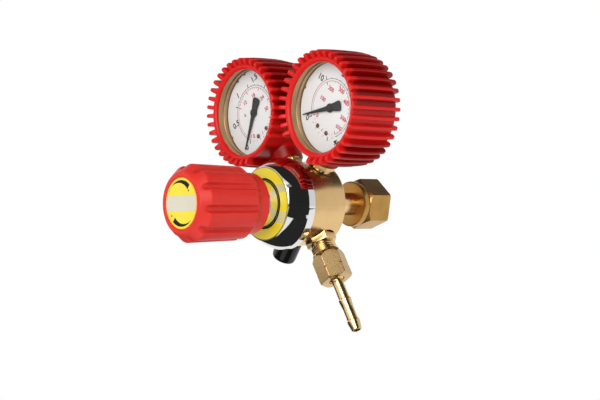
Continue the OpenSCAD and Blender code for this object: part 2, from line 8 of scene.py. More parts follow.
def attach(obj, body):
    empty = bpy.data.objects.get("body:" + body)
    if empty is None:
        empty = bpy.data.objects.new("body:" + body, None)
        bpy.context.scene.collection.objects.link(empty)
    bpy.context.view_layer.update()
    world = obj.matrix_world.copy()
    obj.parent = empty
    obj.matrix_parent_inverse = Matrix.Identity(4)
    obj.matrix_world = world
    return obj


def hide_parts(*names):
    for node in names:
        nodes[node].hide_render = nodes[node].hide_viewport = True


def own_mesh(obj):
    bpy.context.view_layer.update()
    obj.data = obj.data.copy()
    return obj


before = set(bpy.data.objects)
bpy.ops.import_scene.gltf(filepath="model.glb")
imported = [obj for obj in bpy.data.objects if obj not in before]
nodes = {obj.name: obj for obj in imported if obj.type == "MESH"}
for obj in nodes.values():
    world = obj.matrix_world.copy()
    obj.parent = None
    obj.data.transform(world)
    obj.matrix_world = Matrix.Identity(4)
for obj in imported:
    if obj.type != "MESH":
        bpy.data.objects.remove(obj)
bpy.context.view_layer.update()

mm = 0.001
tiny = 1e-6  # in metres: points closer than this are one

# Where the main features lie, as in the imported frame
place = {
    "bodyFront": -65.7, "bodyBack": -37.4, "bossEnd": -28.0, "portY": -48.0,
    "labelY": -83.4, "neckEnd": -104.0, "knobFront": -148.9, "knobBack": -94.3,
    "gaugeReach": 71.5, "gaugeHalfGap": 38.1, "openingY": -70.5, "dialY": -60.9,
    "pointerY": -62.4, "blockY": -51.5, "nutFront": -9.3, "nutMouth": 14.0,
}
portY = place["portY"]
portAngle = math.asin(place["gaugeHalfGap"] / place["gaugeReach"])
gaugeSides = {"low": -1, "high": 1}


# Editing helpers

def clearSelection():
    if bpy.context.object and bpy.context.object.mode != "OBJECT":
        bpy.ops.object.mode_set(mode="OBJECT")
    bpy.ops.object.select_all(action="DESELECT")


def pickOnly(piece):
    clearSelection()
    piece.select_set(True)
    bpy.context.view_layer.objects.active = piece


def newPiece(name):  # names what an operator has just added
    piece = bpy.context.object
    piece.name = piece.data.name = name
    return piece


def applyPlace(piece):
    pickOnly(piece)
    bpy.ops.object.transform_apply(location=True, rotation=True, scale=True)
    return piece


def setDown(piece, spot=(0, 0, 0), turn=(0, 0, 0)):  # in metres and radians
    piece.location, piece.rotation_euler = spot, turn
    return applyPlace(piece)


def moveTo(piece, x, y, z):
    return setDown(piece, (x * mm, y * mm, z * mm))


def turnBy(piece, y=0, z=0):  # in degrees about Y or Z
    return setDown(piece, turn=(0, math.radians(y), math.radians(z)))


def alongY(piece):  # local Z becomes +Y
    return setDown(piece, turn=(-math.pi / 2, 0, 0))


def atPort(piece, angle):  # local Z becomes the port's direction
    return setDown(piece, (0, portY * mm, 0), (0, angle, 0))


def atGauge(piece, side):
    turn = gaugeSides[side] * portAngle
    reach = place["gaugeReach"] * mm
    return setDown(piece, (reach * math.sin(turn), 0, reach * math.cos(turn)), (0, turn, 0))


def underGauge(piece):  # from the body's axis to the gauge's own
    return moveTo(piece, 0, portY, -place["gaugeReach"])


def selectWhere(piece, kind, test):  # selects the vertices or faces that pass, and stays in edit mode
    pickOnly(piece)
    bpy.ops.object.mode_set(mode="EDIT")
    bpy.ops.mesh.select_mode(type=kind)
    bpy.ops.mesh.select_all(action="DESELECT")
    bpy.ops.object.mode_set(mode="OBJECT")
    for item in {"VERT": piece.data.vertices, "FACE": piece.data.polygons}[kind]:
        item.select = test(item)
    bpy.ops.object.mode_set(mode="EDIT")


def faceOutwards():  # ends the edit
    bpy.ops.mesh.select_all(action="SELECT")
    bpy.ops.mesh.normals_make_consistent(inside=False)
    bpy.ops.object.mode_set(mode="OBJECT")


def startOutline(name, outline, closed):  # one vertex extruded along the outline, in X and Z
    clearSelection()
    bpy.ops.mesh.primitive_plane_add(size=mm)
    piece = newPiece(name)
    bpy.ops.object.mode_set(mode="EDIT")
    bpy.ops.mesh.select_mode(type="VERT")
    bpy.ops.mesh.merge(type="CENTER")
    bpy.ops.transform.translate(value=(outline[0][0] * mm, 0, outline[0][1] * mm))
    for (x0, z0), (x1, z1) in zip(outline, outline[1:]):
        step = ((x1 - x0) * mm, 0, (z1 - z0) * mm)
        bpy.ops.mesh.extrude_vertices_move(TRANSFORM_OT_translate={"value": step})
    if closed:
        ends = [Vector((x * mm, 0, z * mm)) for x, z in (outline[0], outline[-1])]
        selectWhere(piece, "VERT", lambda v: min((v.co - end).length for end in ends) < tiny)
        bpy.ops.mesh.edge_face_add()
    bpy.ops.mesh.select_all(action="SELECT")
    return piece


def turnPiece(name, outline, steps=96, closed=False):  # outline of (radius, height) spun round Z
    piece = startOutline(name, outline, closed)
    bpy.ops.mesh.spin(steps=steps, angle=2 * math.pi, center=(0, 0, 0), axis=(0, 0, 1))
    bpy.ops.mesh.select_all(action="SELECT")
    bpy.ops.mesh.remove_doubles(threshold=2 * tiny)
    faceOutwards()
    return piece


def plateFrom(name, outline, thickness):  # closed outline in X and Z, filled and made thick along Y
    piece = startOutline(name, outline, True)
    bpy.ops.mesh.edge_face_add()
    bpy.ops.mesh.extrude_region_move(TRANSFORM_OT_translate={"value": (0, thickness * mm, 0)})
    faceOutwards()
    return piece


def near(x, z, *steps):  # outline points at small steps from one corner
    return [(x + dx, z + dz) for dx, dz in steps]


def addModifier(piece, kind, **values):
    pickOnly(piece)
    modifier = piece.modifiers.new(kind.lower(), kind)
    for key, value in values.items():
        setattr(modifier, key, value)
    bpy.ops.object.modifier_apply(modifier=modifier.name)
    return piece


def mergeDoubles(piece):
    pickOnly(piece)
    bpy.ops.object.mode_set(mode="EDIT")
    bpy.ops.mesh.select_all(action="SELECT")
    bpy.ops.mesh.remove_doubles(threshold=tiny)
    bpy.ops.mesh.dissolve_degenerate(threshold=tiny)
    bpy.ops.object.mode_set(mode="OBJECT")
    return piece


def roundEdges(piece, width, segments=3, angle=30):
    addModifier(piece, "BEVEL", width=width * mm, segments=segments, limit_method="ANGLE",
                angle_limit=math.radians(angle))
    return mergeDoubles(piece)


def cutAway(piece, tool, operation="DIFFERENCE"):
    addModifier(piece, "BOOLEAN", object=tool, operation=operation, solver="EXACT")
    bpy.data.objects.remove(tool)
    return mergeDoubles(piece)


def copyOf(piece, name):
    pickOnly(piece)
    bpy.ops.object.duplicate(linked=False)
    return newPiece(name)


def joinAll(pieces):
    clearSelection()
    for piece in pieces:
        piece.select_set(True)
    bpy.context.view_layer.objects.active = pieces[0]
    bpy.ops.object.join()
    return pieces[0]


def cylinderAt(name, radius, z0, z1, x=0, y=0, sides=64):
    clearSelection()
    bpy.ops.mesh.primitive_cylinder_add(vertices=sides, radius=radius * mm, depth=(z1 - z0) * mm)
    return setDown(newPiece(name), (x * mm, y * mm, (z0 + z1) / 2 * mm))


def makeRing(name, inner, outer, y0, y1):
    outline = [(inner, y0), (outer, y0), (outer, y1), (inner, y1)]
    return alongY(turnPiece(name, outline, steps=120, closed=True))


def discAt(name, radius, y0, y1):
    return alongY(turnPiece(name, [(0, y0), (radius, y0), (radius, y1), (0, y1)], steps=120))


def finishPiece(piece, finish, slotName, *replaced, body="regulator", smooth=35):
    pickOnly(piece)
    bpy.ops.object.shade_smooth_by_angle(angle=math.radians(smooth))
    addModifier(piece, "WEIGHTED_NORMAL", keep_sharp=True)
    paint(piece, finish)
    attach(piece, body)
    if replaced:
        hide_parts(*replaced)
    return piece


# Camera at the photograph's place, looking level from the front right
cameraSetup = {"azimuth": 49.24, "elevation": 0.11, "roll": -0.403, "distance": 898.87, "clipStart": 0.05,
               "target": (32.772, -81.5, 2.537), "focalPixels": 1443.156, "frameWidth": 600, "sensor": 36.0}


def makeCamera(setup):
    az, el, roll = (math.radians(setup[key]) for key in ("azimuth", "elevation", "roll"))
    back = Vector((math.sin(az) * math.cos(el), -math.cos(az) * math.cos(el), math.sin(el)))
    right = Vector((math.cos(az), math.sin(az), 0))
    up = back.cross(right)
    rolledRight = math.cos(roll) * right - math.sin(roll) * up
    rolledUp = math.sin(roll) * right + math.cos(roll) * up
    bpy.ops.object.camera_add()
    camera = bpy.context.object
    camera.matrix_world = Matrix((rolledRight, rolledUp, back)).transposed().to_4x4()
    camera.location = (Vector(setup["target"]) + back * setup["distance"]) * mm
    camera.data.sensor_width = setup["sensor"]
    camera.data.lens = setup["focalPixels"] * setup["sensor"] / setup["frameWidth"]
    camera.data.clip_start = setup["clipStart"]
    bpy.context.scene.camera = camera
    return back, rolledRight


viewBack, viewRight = makeCamera(cameraSetup)
print("camera placed")


# Studio: pale floor, white surroundings, soft lamps, and cards that only reflections see
studio = {"floorZ": -140, "floorSize": 12.0, "floorShade": 0.93, "worldLevel": 0.35, "floorShown": 1.0,
          "floorGlow": 0.8, "heart": (0.01, -0.07, 0.01),
          "keyPower": 9.6, "keySize": 0.8, "keyBack": 0.93, "keyLeft": 0.30, "keyRise": 0.36,
          "fillPower": 0.9, "fillSize": 0.7, "fillBack": 0.2, "fillRight": 0.9, "fillDrop": 0.05}


def startTree(owner):
    owner.use_nodes = True
    owner.node_tree.nodes.clear()
    return owner.node_tree


def addNode(tree, kind, inputs=None, **values):
    node = tree.nodes.new("ShaderNode" + kind)
    for key, value in values.items():
        setattr(node, key, value)
    for key, value in (inputs or {}).items():
        if isinstance(value, bpy.types.NodeSocket):
            tree.links.new(value, node.inputs[key])
        else:
            node.inputs[key].default_value = value
    return node


def addMath(tree, operation, first, second):
    return addNode(tree, "Math", {0: first, 1: second}, operation=operation).outputs[0]


def addLight(tree, kind, grey, strength):
    return addNode(tree, kind, {"Color": (grey, grey, grey, 1), "Strength": strength}).outputs[0]


def makeWorld(setup):
    world = bpy.data.worlds.new("studioWorld")
    bpy.context.scene.world = world
    tree = startTree(world)
    path = addNode(tree, "LightPath")
    shown = addMath(tree, "MAXIMUM", path.outputs["Is Camera Ray"], path.outputs["Is Glossy Ray"])
    shown = addMath(tree, "MAXIMUM", shown, path.outputs["Is Transmission Ray"])
    light = addLight(tree, "Background", 1, setup["worldLevel"])
    seen = addLight(tree, "Background", 1, 1)
    mix = addNode(tree, "MixShader", {0: shown, 1: light, 2: seen})
    addNode(tree, "OutputWorld", {"Surface": mix.outputs[0]})


def makeFloor(setup):
    clearSelection()
    bpy.ops.mesh.primitive_plane_add(size=setup["floorSize"], location=(0, 0, setup["floorZ"] * mm))
    floor = newPiece("studioFloor")
    material = bpy.data.materials.new("floorWhite")
    tree = startTree(material)
    path = addNode(tree, "LightPath")
    share = addNode(tree, "MapRange", {"Value": path.outputs["Is Camera Ray"], "To Min": setup["floorGlow"],
                                       "To Max": setup["floorShown"]})
    shade = setup["floorShade"]
    matt = addNode(tree, "BsdfDiffuse", {"Color": (shade, shade, shade, 1)})
    glow = addLight(tree, "Emission", 1, 1)
    mix = addNode(tree, "MixShader", {0: share.outputs[0], 1: matt.outputs[0], 2: glow})
    addNode(tree, "OutputMaterial", {"Surface": mix.outputs[0]})
    floor.data.materials.append(material)


def addLamp(name, spot, power, size, reflected):  # aimed at the object
    clearSelection()
    bpy.ops.object.light_add(type="AREA", location=spot)
    lamp = newPiece(name)
    lamp.data.energy = power
    lamp.data.size = size
    lamp.visible_glossy = reflected
    lamp.rotation_euler = (Vector(studio["heart"]) - lamp.location).to_track_quat("-Z", "Y").to_euler()


def addCard(name, corner, across, along, grey):  # spans two edges from a corner
    clearSelection()
    bpy.ops.mesh.primitive_plane_add(size=1)
    card = setDown(newPiece(name), (0.5, 0.5, 0))
    across, along = Vector(across), Vector(along)
    card.matrix_world = Matrix((across, along, across.cross(along))).transposed().to_4x4()
    card.location = corner
    applyPlace(card)
    material = bpy.data.materials.new(name + "Paint")
    tree = startTree(material)
    addNode(tree, "OutputMaterial", {"Surface": addLight(tree, "Emission", grey, 1)})
    card.data.materials.append(material)
    for ray in ("camera", "diffuse", "transmission", "volume_scatter", "shadow"):
        setattr(card, "visible_" + ray, False)


bpy.context.scene.view_settings.view_transform = "Standard"
makeWorld(studio)
makeFloor(studio)
heart = Vector(studio["heart"])
keySpot = (heart + viewBack * studio["keyBack"] - viewRight * studio["keyLeft"]
           + Vector((0, 0, studio["keyRise"])))
fillSpot = (heart + viewRight * studio["fillRight"] + viewBack * studio["fillBack"]
            - Vector((0, 0, studio["fillDrop"])))
addLamp("keyLamp", keySpot, studio["keyPower"], studio["keySize"], True)
addLamp("fillLamp", fillSpot, studio["fillPower"], studio["fillSize"], False)
# Reflection cards in metres: (corner, one edge, other edge, grey)
cards = {
    "roofHigh": ((-1.6, -1.6, 1.25), (3.2, 0, 0), (0, 3.4, 0), 0.30),
    "roofDark": ((-0.95, -0.42, 0.90), (1.85, 0, 0), (0, 0.60, 0), 0.02),
    "wallDark": ((0.90, -0.80, -0.14), (0, 1.12, 0), (0, 0, 1.04), 0.02),
    "wallFront": ((0.20, -1.30, -0.14), (0.70, 0.50, 0), (0, 0, 0.80), 0.02),
    "wallBack": ((-0.60, 1.50, -0.14), (2.60, -0.60, 0), (0, 0, 1.30), 0.76),
    "floorBack": ((-0.60, -0.12, -0.136), (2.60, 0, 0), (0, 1.62, 0), 0.95),
    "floorDark": ((-0.60, -0.58, -0.135), (1.50, -0.10, 0), (0, 0.58, 0), 0.02),
    "floorCorner": ((0.25, -0.10, -0.1345), (0.65, 0.42, 0), (0.65, 0, 0), 0.02),
    "roofBack": ((-0.30, 0.26, 0.91), (1.20, 0, 0), (0, 0.98, 0), 0.04),
    "floorWedge": ((-0.04, -0.26, -0.134), (0.21, -0.05, 0), (0, 0.15, 0), 0.95),
    "roofWedge": ((0.22, -0.75, 0.88), (0.42, 0, 0), (0, 0.33, 0), 0.95),
}
for name, (corner, across, along, grey) in cards.items():
    addCard(name, corner, across, along, grey)
print("studio ready")


# Materials. Patterns read Object coordinates in metres, so a scale of 1000 has features about 1 mm wide.

def startMaterial(name, **sockets):
    material = bpy.data.materials.new(name)
    material.use_nodes = True
    tree = material.node_tree
    shader = tree.nodes["Principled BSDF"]
    for key, value in sockets.items():
        label = {"ior": "IOR", "specular": "Specular IOR Level"}.get(key, key.capitalize())
        shader.inputs[label].default_value = value
    return material, tree, shader


def noiseAt(tree, scale, detail, stretch=(1, 1, 1), turn=(0, 0, 0)):
    spot = addNode(tree, "TexCoord")
    frameMap = addNode(tree, "Mapping", {"Vector": spot.outputs["Object"], "Rotation": turn})
    wide = addNode(tree, "Mapping", {"Vector": frameMap.outputs[0], "Scale": stretch})
    noise = addNode(tree, "TexNoise", {"Vector": wide.outputs[0], "Scale": scale, "Detail": detail})
    return noise.outputs["Fac"]


def rampBetween(tree, shader, factor, low, high, start=0.3, end=0.7):  # the base colour's two shades
    ramp = addNode(tree, "ValToRGB", {"Fac": factor})
    for element, position, shade in zip(ramp.color_ramp.elements, (start, end), (low, high)):
        element.position = position
        element.color = (*shade, 1)
    tree.links.new(ramp.outputs["Color"], shader.inputs["Base Color"])


def roughBetween(tree, shader, factor, low, high):
    rough = addNode(tree, "MapRange", {"Value": factor, "To Min": low, "To Max": high})
    tree.links.new(rough.outputs[0], shader.inputs["Roughness"])


def bumpFrom(tree, shader, height, strength, distance):
    bump = addNode(tree, "Bump", {"Height": height, "Strength": strength, "Distance": distance * mm})
    tree.links.new(bump.outputs[0], shader.inputs["Normal"])


def metalFinish(name, dark, light, roughLow, roughHigh, stretch=(1, 1, 1), bump=0.06, turn=(0, 0, 0)):
    material, tree, shader = startMaterial(name, metallic=1.0)
    lines = noiseAt(tree, 900, 2, stretch, turn)
    rampBetween(tree, shader, noiseAt(tree, 60, 4), dark, light)
    roughBetween(tree, shader, lines, roughLow, roughHigh)
    bumpFrom(tree, shader, lines, bump, 0.1)
    return material


def plasticFinish(name, dark, light, roughLow, roughHigh, bump=0.05, grain=1500, specular=0.5):
    material, tree, shader = startMaterial(name, specular=specular)
    fine = noiseAt(tree, grain, 2)
    rampBetween(tree, shader, noiseAt(tree, 45, 3), dark, light)
    roughBetween(tree, shader, fine, roughLow, roughHigh)
    bumpFrom(tree, shader, fine, bump, 0.05)
    return material


# Each metal: dark shade, light shade, lowest and highest roughness, grain's stretch, bump, grain's turn
outletTurn = (0, portAngle - math.pi, 0)
metals = {
    "bodyBrass": ((0.75, 0.50, 0.225), (0.84, 0.57, 0.275), 0.20, 0.30, (0.15, 3, 0.15)),
    "brightBrass": ((0.72, 0.50, 0.24), (0.82, 0.60, 0.31), 0.14, 0.24),
    "nutBrass": ((0.44, 0.235, 0.062), (0.56, 0.32, 0.095), 0.24, 0.40, (2, 0.2, 2)),
    "hoseNutBrass": ((0.56, 0.36, 0.15), (0.68, 0.46, 0.21), 0.22, 0.36, (2, 2, 0.15), 0.06, outletTurn),
    "tailBrass": ((0.74, 0.52, 0.24), (0.84, 0.62, 0.32), 0.14, 0.24, (0.3, 0.3, 3), 0.06, outletTurn),
    "caseTan": ((0.46, 0.31, 0.165), (0.58, 0.41, 0.225), 0.38, 0.52, (0.2, 4, 0.2)),
    "stemBrass": ((0.86, 0.58, 0.27), (0.94, 0.66, 0.33), 0.2, 0.3, (0.15, 3, 0.15)),
    "chrome": ((0.78, 0.78, 0.77), (0.84, 0.84, 0.83), 0.03, 0.07, (0.2, 3, 0.2), 0.01),
    "plated": ((0.60, 0.61, 0.62), (0.70, 0.71, 0.72), 0.22, 0.34),
    "springSteel": ((0.40, 0.41, 0.43), (0.52, 0.53, 0.55), 0.25, 0.38),
    "screwBronze": ((0.17, 0.10, 0.05), (0.26, 0.16, 0.08), 0.35, 0.5),
    "filterBronze": ((0.36, 0.22, 0.12), (0.52, 0.34, 0.20), 0.5, 0.7, (1, 1, 1), 0.6)}

# Each plastic: dark shade, light shade, lowest and highest roughness, bump, grain's scale, specular level
plastics = {
    "knobRed": ((0.60, 0.022, 0.015), (0.66, 0.028, 0.019), 0.34, 0.46, 0.05, 2500, 0.24),
    "capBlack": ((0.004, 0.004, 0.004), (0.008, 0.008, 0.008), 0.14, 0.2, 0.05, 1500, 0.35),
    "sealBlack": ((0.016, 0.016, 0.016), (0.03, 0.03, 0.03), 0.5, 0.65, 0.15),
    "gasketGrey": ((0.035, 0.03, 0.028), (0.06, 0.052, 0.046), 0.6, 0.8, 0.3),
    "dialWhite": ((0.86, 0.86, 0.85), (0.90, 0.90, 0.89), 0.45, 0.55, 0.02),
    "inkBlack": ((0.008, 0.008, 0.008), (0.014, 0.014, 0.014), 0.45, 0.55, 0.05, 1500, 0.1),
    "inkRed": ((0.55, 0.03, 0.05), (0.62, 0.05, 0.07), 0.45, 0.55),
    "pointerBlack": ((0.008, 0.008, 0.008), (0.016, 0.016, 0.016), 0.4, 0.5),
    "labelYellow": ((0.76, 0.60, 0.016), (0.81, 0.65, 0.026), 0.28, 0.36, 0.02),
    "labelOrange": ((0.85, 0.30, 0.02), (0.90, 0.36, 0.03), 0.28, 0.36, 0.02),
    "labelWhite": ((0.58, 0.54, 0.42), (0.62, 0.58, 0.46), 0.28, 0.36, 0.02),
    "labelCream": ((0.56, 0.50, 0.22), (0.62, 0.56, 0.28), 0.28, 0.36, 0.02)}
finishes = {name: metalFinish(name, *recipe) for name, recipe in metals.items()}
finishes.update({name: plasticFinish(name, *recipe) for name, recipe in plastics.items()})


def windowFinish(name):
    material, tree, shader = startMaterial(name, alpha=0.05, ior=1.49)
    smear = noiseAt(tree, 120, 3)
    roughBetween(tree, shader, smear, 0.02, 0.06)
    rampBetween(tree, shader, smear, (0.07, 0.08, 0.08), (0.12, 0.13, 0.13))
    return material


finishes["clearWindow"] = windowFinish("clearWindow")

# Rubber red with painted shade: a dark red stands for the shade in the valleys between the ribs and over the
# boot's lower part; full red on the rib crests and on the front rim
bootRed = {"valleyPaintedShade": (0.30, 0.0015, 0.001), "crest": (0.62, 0.010, 0.008), "specular": 0.22,
           "crestFrom": 33.4, "crestTo": 36.2, "skirtFrom": 36.5, "skirtTo": 39.0,
           "rimFrom": -67.5, "rimTo": -70.5}


def bootPaintedShadeFinish(name, side, shades):
    material, tree, shader = startMaterial(name, specular=shades["specular"])
    spot = addNode(tree, "TexCoord").outputs["Object"]
    axis = (-gaugeSides[side] * place["gaugeHalfGap"] * mm, 0, -place["gaugeReach"] * mm)
    centred = addNode(tree, "Mapping", {"Vector": spot, "Location": axis})
    flat = addNode(tree, "Mapping", {"Vector": centred.outputs[0], "Scale": (1, 0, 1)})
    reach = addNode(tree, "VectorMath", {"Vector": flat.outputs[0]}, operation="LENGTH").outputs["Value"]
    depth = addNode(tree, "SeparateXYZ", {"Vector": spot}).outputs
    crest, skirt, rim = (addNode(tree, "MapRange", {"Value": value, "From Min": shades[part + "From"] * mm,
                                                    "From Max": shades[part + "To"] * mm}).outputs[0]
                         for part, value in (("crest", reach), ("skirt", depth["Z"]), ("rim", depth["Y"])))
    # share is 1 for the full red and 0 for the painted shade in the rib valleys and across the boot's lower
    # part
    share = addMath(tree, "MAXIMUM", addMath(tree, "MULTIPLY", crest, skirt), rim)
    fine = noiseAt(tree, 1500, 2)
    rampBetween(tree, shader, share, shades["valleyPaintedShade"], shades["crest"], 0.0, 1.0)
    roughBetween(tree, shader, fine, 0.24, 0.34)
    bumpFrom(tree, shader, fine, 0.08, 0.05)
    return material


def paint(piece, finish):
    piece.data.materials.clear()
    piece.data.materials.append(finishes[finish])


print("materials made")


# Adjusting knob: a spun shell whose ten flutes are pressed in column by column, then softened
knobShape = {"radius": 24.5, "rearRadius": 23.5, "labelSeat": 16.1, "seatDepth": 0.5, "cavity": 16.5,
             "lobes": 10, "columns": 300, "fluteRadius": 2.4, "fluteCentre": 23.2, "fluteEnd": 6,
             "lobeDrop": 1.5, "dropFrom": 19.4, "edgeRound": 0.8, "firstFlute": 8, "coneFrom": 19.6,
             "coneTo": 24.2, "coneSlope": 1.18, "skirtFrom": 23.1, "skirtTo": 20.2, "skirtSlope": 1.38,
             "lip": ((16.35, -0.2), (16.8, -0.4), (18.6, -0.3), (19.1, -0.15)),
             "rim": ((19.95, -7.4), (19.8, -6.6), (19.45, -0.6), (19.25, -0.15), (18.9, 0)),
             "hub": ((10, -134.9), (10, -124.9), (7, -124.9), (7, -138.9), (0, -138.9))}


def spread(low, high, count):
    return [low + (high - low) * i / (count - 1) for i in range(count)]


def makeKnob(shape):
    front, back, radius, rear = place["knobFront"], place["knobBack"], shape["radius"], shape["rearRadius"]
    seat, cone, skirt = front + shape["seatDepth"], shape["coneFrom"], shape["skirtFrom"]
    outline = [(0, seat), (shape["labelSeat"], seat)] + near(0, front, *shape["lip"])
    outline += [(r, front + 0.2 + (r - cone) * shape["coneSlope"]) for r in spread(cone, shape["coneTo"], 9)]
    outline += [(radius + (rear - radius) * i / 5, front + 6.3 + i * 7.1) for i in range(6)]
    outline += [(skirt + 0.3, back - 12.4)]
    outline += [(r, back - 12 + (skirt - r) * shape["skirtSlope"])
                for r in spread(skirt, shape["skirtTo"], 8)]
    outline += near(0, back, *shape["rim"]) + [(shape["cavity"], back), (shape["cavity"], shape["hub"][0][1])]
    knob = turnPiece("knobShell", outline + list(shape["hub"]), steps=shape["columns"])
    pressFlutes(knob, shape, front, back - shape["fluteEnd"])
    roundEdges(knob, shape["edgeRound"], 3, 32)
    return alongY(turnBy(knob, z=shape["firstFlute"]))


def pressFlutes(knob, shape, start, end):
    pitch = 360 / shape["lobes"]
    step = 360 / shape["columns"]
    centre, full, drop = shape["fluteCentre"], shape["fluteRadius"], shape["dropFrom"]
    verts = knob.data.vertices

    def columnOf(v):
        turn = math.degrees(math.atan2(v.co.y, v.co.x))
        return round(abs((turn + pitch / 2) % pitch - pitch / 2) / step)

    def radiusOf(v):
        return math.hypot(v.co.x, v.co.y) / mm

    for height in sorted({round(v.co.z / mm, 3) for v in verts if start < v.co.z / mm < end}):
        crown = max(radiusOf(v) for v in verts if abs(v.co.z / mm - height) < 0.01)
        for column in range(int(pitch / 2 / step)):
            turn = math.radians(column * step)
            across = centre * math.sin(turn)
            crowning = (1 - 2 * column * step / pitch) ** 2 * max(crown - drop, 0) / (shape["radius"] - drop)
            goal = crown - shape["lobeDrop"] * crowning
            if across < full:
                goal = min(goal, centre * math.cos(turn) - math.sqrt(full ** 2 - across ** 2))
            if goal > crown - 0.002:
                continue
            selectWhere(knob, "VERT", lambda v: abs(v.co.z / mm - height) < 0.01
                        and radiusOf(v) > max(goal, shape["cavity"] + 1) and columnOf(v) == column)
            if any(v.select for v in verts):
                now = max(radiusOf(v) for v in verts if v.select)
                bpy.ops.transform.resize(value=(goal / now, goal / now, 1), center_override=(0, 0, 0))
    bpy.ops.object.mode_set(mode="OBJECT")


knob = makeKnob(knobShape)
finishPiece(knob, "knobRed", "knob_red", "knob", body="knob", smooth=40)
print("knob made")


# Bonnet: mirror-plated shell with a curved flank, bored for the adjusting screw and the spring
bonnetShape = {"flange": 29.7, "spigot": 25.9, "flangeFront": -70.7, "neck": 15, "screwBore": 7.05,
               "well": 12.8, "throat": 5, "wellEnd": -76.7, "seat": 21, "seatEnd": -72.2, "edge": 0.35,
               "flank": ((29.6, -71.0), (28.6, -75.0), (26.4, -80.0), (23.7, -83.4)), "flankPoints": 14}


def alongCurve(pulls, count):
    spots = []
    for i in range(count + 1):
        t = i / count
        weights = ((1 - t) ** 3, 3 * t * (1 - t) ** 2, 3 * t * t * (1 - t), t ** 3)
        spots.append([sum(weight * pull[axis] for weight, pull in zip(weights, pulls)) for axis in (0, 1)])
    return spots


def makeBonnet(shape):
    flange, spigot, end, well = shape["flange"], shape["spigot"], place["neckEnd"], shape["well"]
    outline = [(spigot, place["bodyFront"]), (flange, place["bodyFront"]), (flange, shape["flangeFront"])]
    outline += alongCurve(shape["flank"], shape["flankPoints"])
    outline += [(shape["neck"], place["labelY"]), (shape["neck"], end), (shape["screwBore"], end),
                (shape["screwBore"], end + shape["throat"]), (well, end + shape["throat"]),
                (well, shape["wellEnd"]), (shape["seat"], shape["wellEnd"]),
                (shape["seat"], shape["seatEnd"]), (spigot, shape["seatEnd"])]
    bonnet = turnPiece("bonnetShell", outline, steps=160, closed=True)
    return alongY(roundEdges(bonnet, shape["edge"], 3, 40))


finishPiece(makeBonnet(bonnetShape), "chrome", "chrome_bonnet", "bonnet")
print("bonnet made")


# Labels: yellow films with their pale bands, an orange rim on the knob's, and curved marks; black rings at
# the ring label's edges are painted shade. Clock angles run from the top.
labelShape = {"knobRadius": 15.87, "ringInner": 15.15, "ringOuter": 23.35, "ringShadeBorder": 1.2, "film": 0.35,
              "ink": 0.02, "bandHeight": 9.6, "bandTilt": 2.0, "crescentRadius": 14.3, "crescentWidth": 3.6,
              "crescentSweep": 80, "crescentStarts": (-44, 136), "marks": ((7.4, 8.0), (-9.7, -7.9)),
              "markReach": 1.35, "markWaist": 0.32, "patches": ((7.6, 12.4), (-12, -5))}


def flatInk(name, outline, y):
    return moveTo(plateFrom(name, outline, labelShape["ink"]), 0, y - labelShape["ink"], 0)


def clockSpot(clock, radius):
    return radius * math.sin(math.radians(clock)), radius * math.cos(math.radians(clock))


def crescent(start, end, outer, width, steps=18):  # grows from a fine point to the full width at its last end
    turns = spread(start, end, steps + 1)
    rim = [clockSpot(clock, outer) for clock in turns]
    inner = [clockSpot(clock, outer - width * (i + 0.6) / (steps + 0.6)) for i, clock in enumerate(turns)]
    return rim + inner[::-1]


def bandAcross(radius, low, high, tilt, steps=12):  # a disc between two heights, turned by the tilt
    arcs = [(math.sqrt(radius ** 2 - z ** 2), z) for z in spread(low, high, steps + 1)]
    arcs += [(-x, z) for x, z in arcs[::-1]]
    cos, sin = math.cos(math.radians(tilt)), math.sin(math.radians(tilt))
    return [(x * cos - z * sin, x * sin + z * cos) for x, z in arcs]


def fourPointed(x, z, reach, waist):
    spots = [clockSpot(45 * k, waist if k % 2 else reach) for k in range(8)]
    return near(x, z, *spots)


def makeKnobLabel(shape):
    face, ink, radius = place["knobFront"], shape["ink"], shape["knobRadius"]
    film = roundEdges(discAt("knobLabelFilm", radius, face + ink * 2, face + knobShape["seatDepth"]), 0.06, 1)
    rim = makeRing("knobLabelRim", radius - 0.5, radius - 0.05, face + ink, face + ink * 3)
    half, top = shape["bandHeight"] / 2, face + ink * 2.4
    band = flatInk("knobLabelBand", bandAcross(radius - 0.55, -half, half, shape["bandTilt"]), top)
    outlines = [("knobLabelArc", crescent(start, start + shape["crescentSweep"], shape["crescentRadius"],
                                          shape["crescentWidth"])) for start in shape["crescentStarts"]]
    outlines += [("knobLabelMark", fourPointed(x, z, shape["markReach"], shape["markWaist"]))
                 for x, z in shape["marks"]]
    return film, rim, band, joinAll([flatInk(name, outline, top) for name, outline in outlines])


def ringPatch(shape, low, high):  # the part of the ring label between two heights on its right side
    inner, outer = shape["ringInner"] + shape["ringShadeBorder"], shape["ringOuter"] - 0.4
    heights = spread(low, high, 9)
    rim = [(math.sqrt(outer ** 2 - z * z), z) for z in heights]
    return rim + [(math.sqrt(inner ** 2 - z * z), z) for z in heights[::-1]]


def makeRingLabel(shape):
    inner, outer, ink = shape["ringInner"], shape["ringOuter"], shape["ink"]
    front = place["labelY"] - shape["film"]
    film = roundEdges(makeRing("bonnetLabelFilm", inner, outer, front + ink, place["labelY"]), 0.05, 1)
    # black rings at the ring label's outer and inner edges: painted shade of the gap at its rim and of the
    # groove round the neck
    shadeRings = [makeRing("bonnetLabelShadeRing", low, high, front, front + 2 * ink) for low, high in
              ((outer - 0.35, outer - 0.02), (inner + 0.02, inner + shape["ringShadeBorder"]))]
    patches = [flatInk("bonnetLabelPatch", ringPatch(shape, low, high), front + ink)
               for low, high in shape["patches"]]
    return film, joinAll(shadeRings), joinAll(patches)


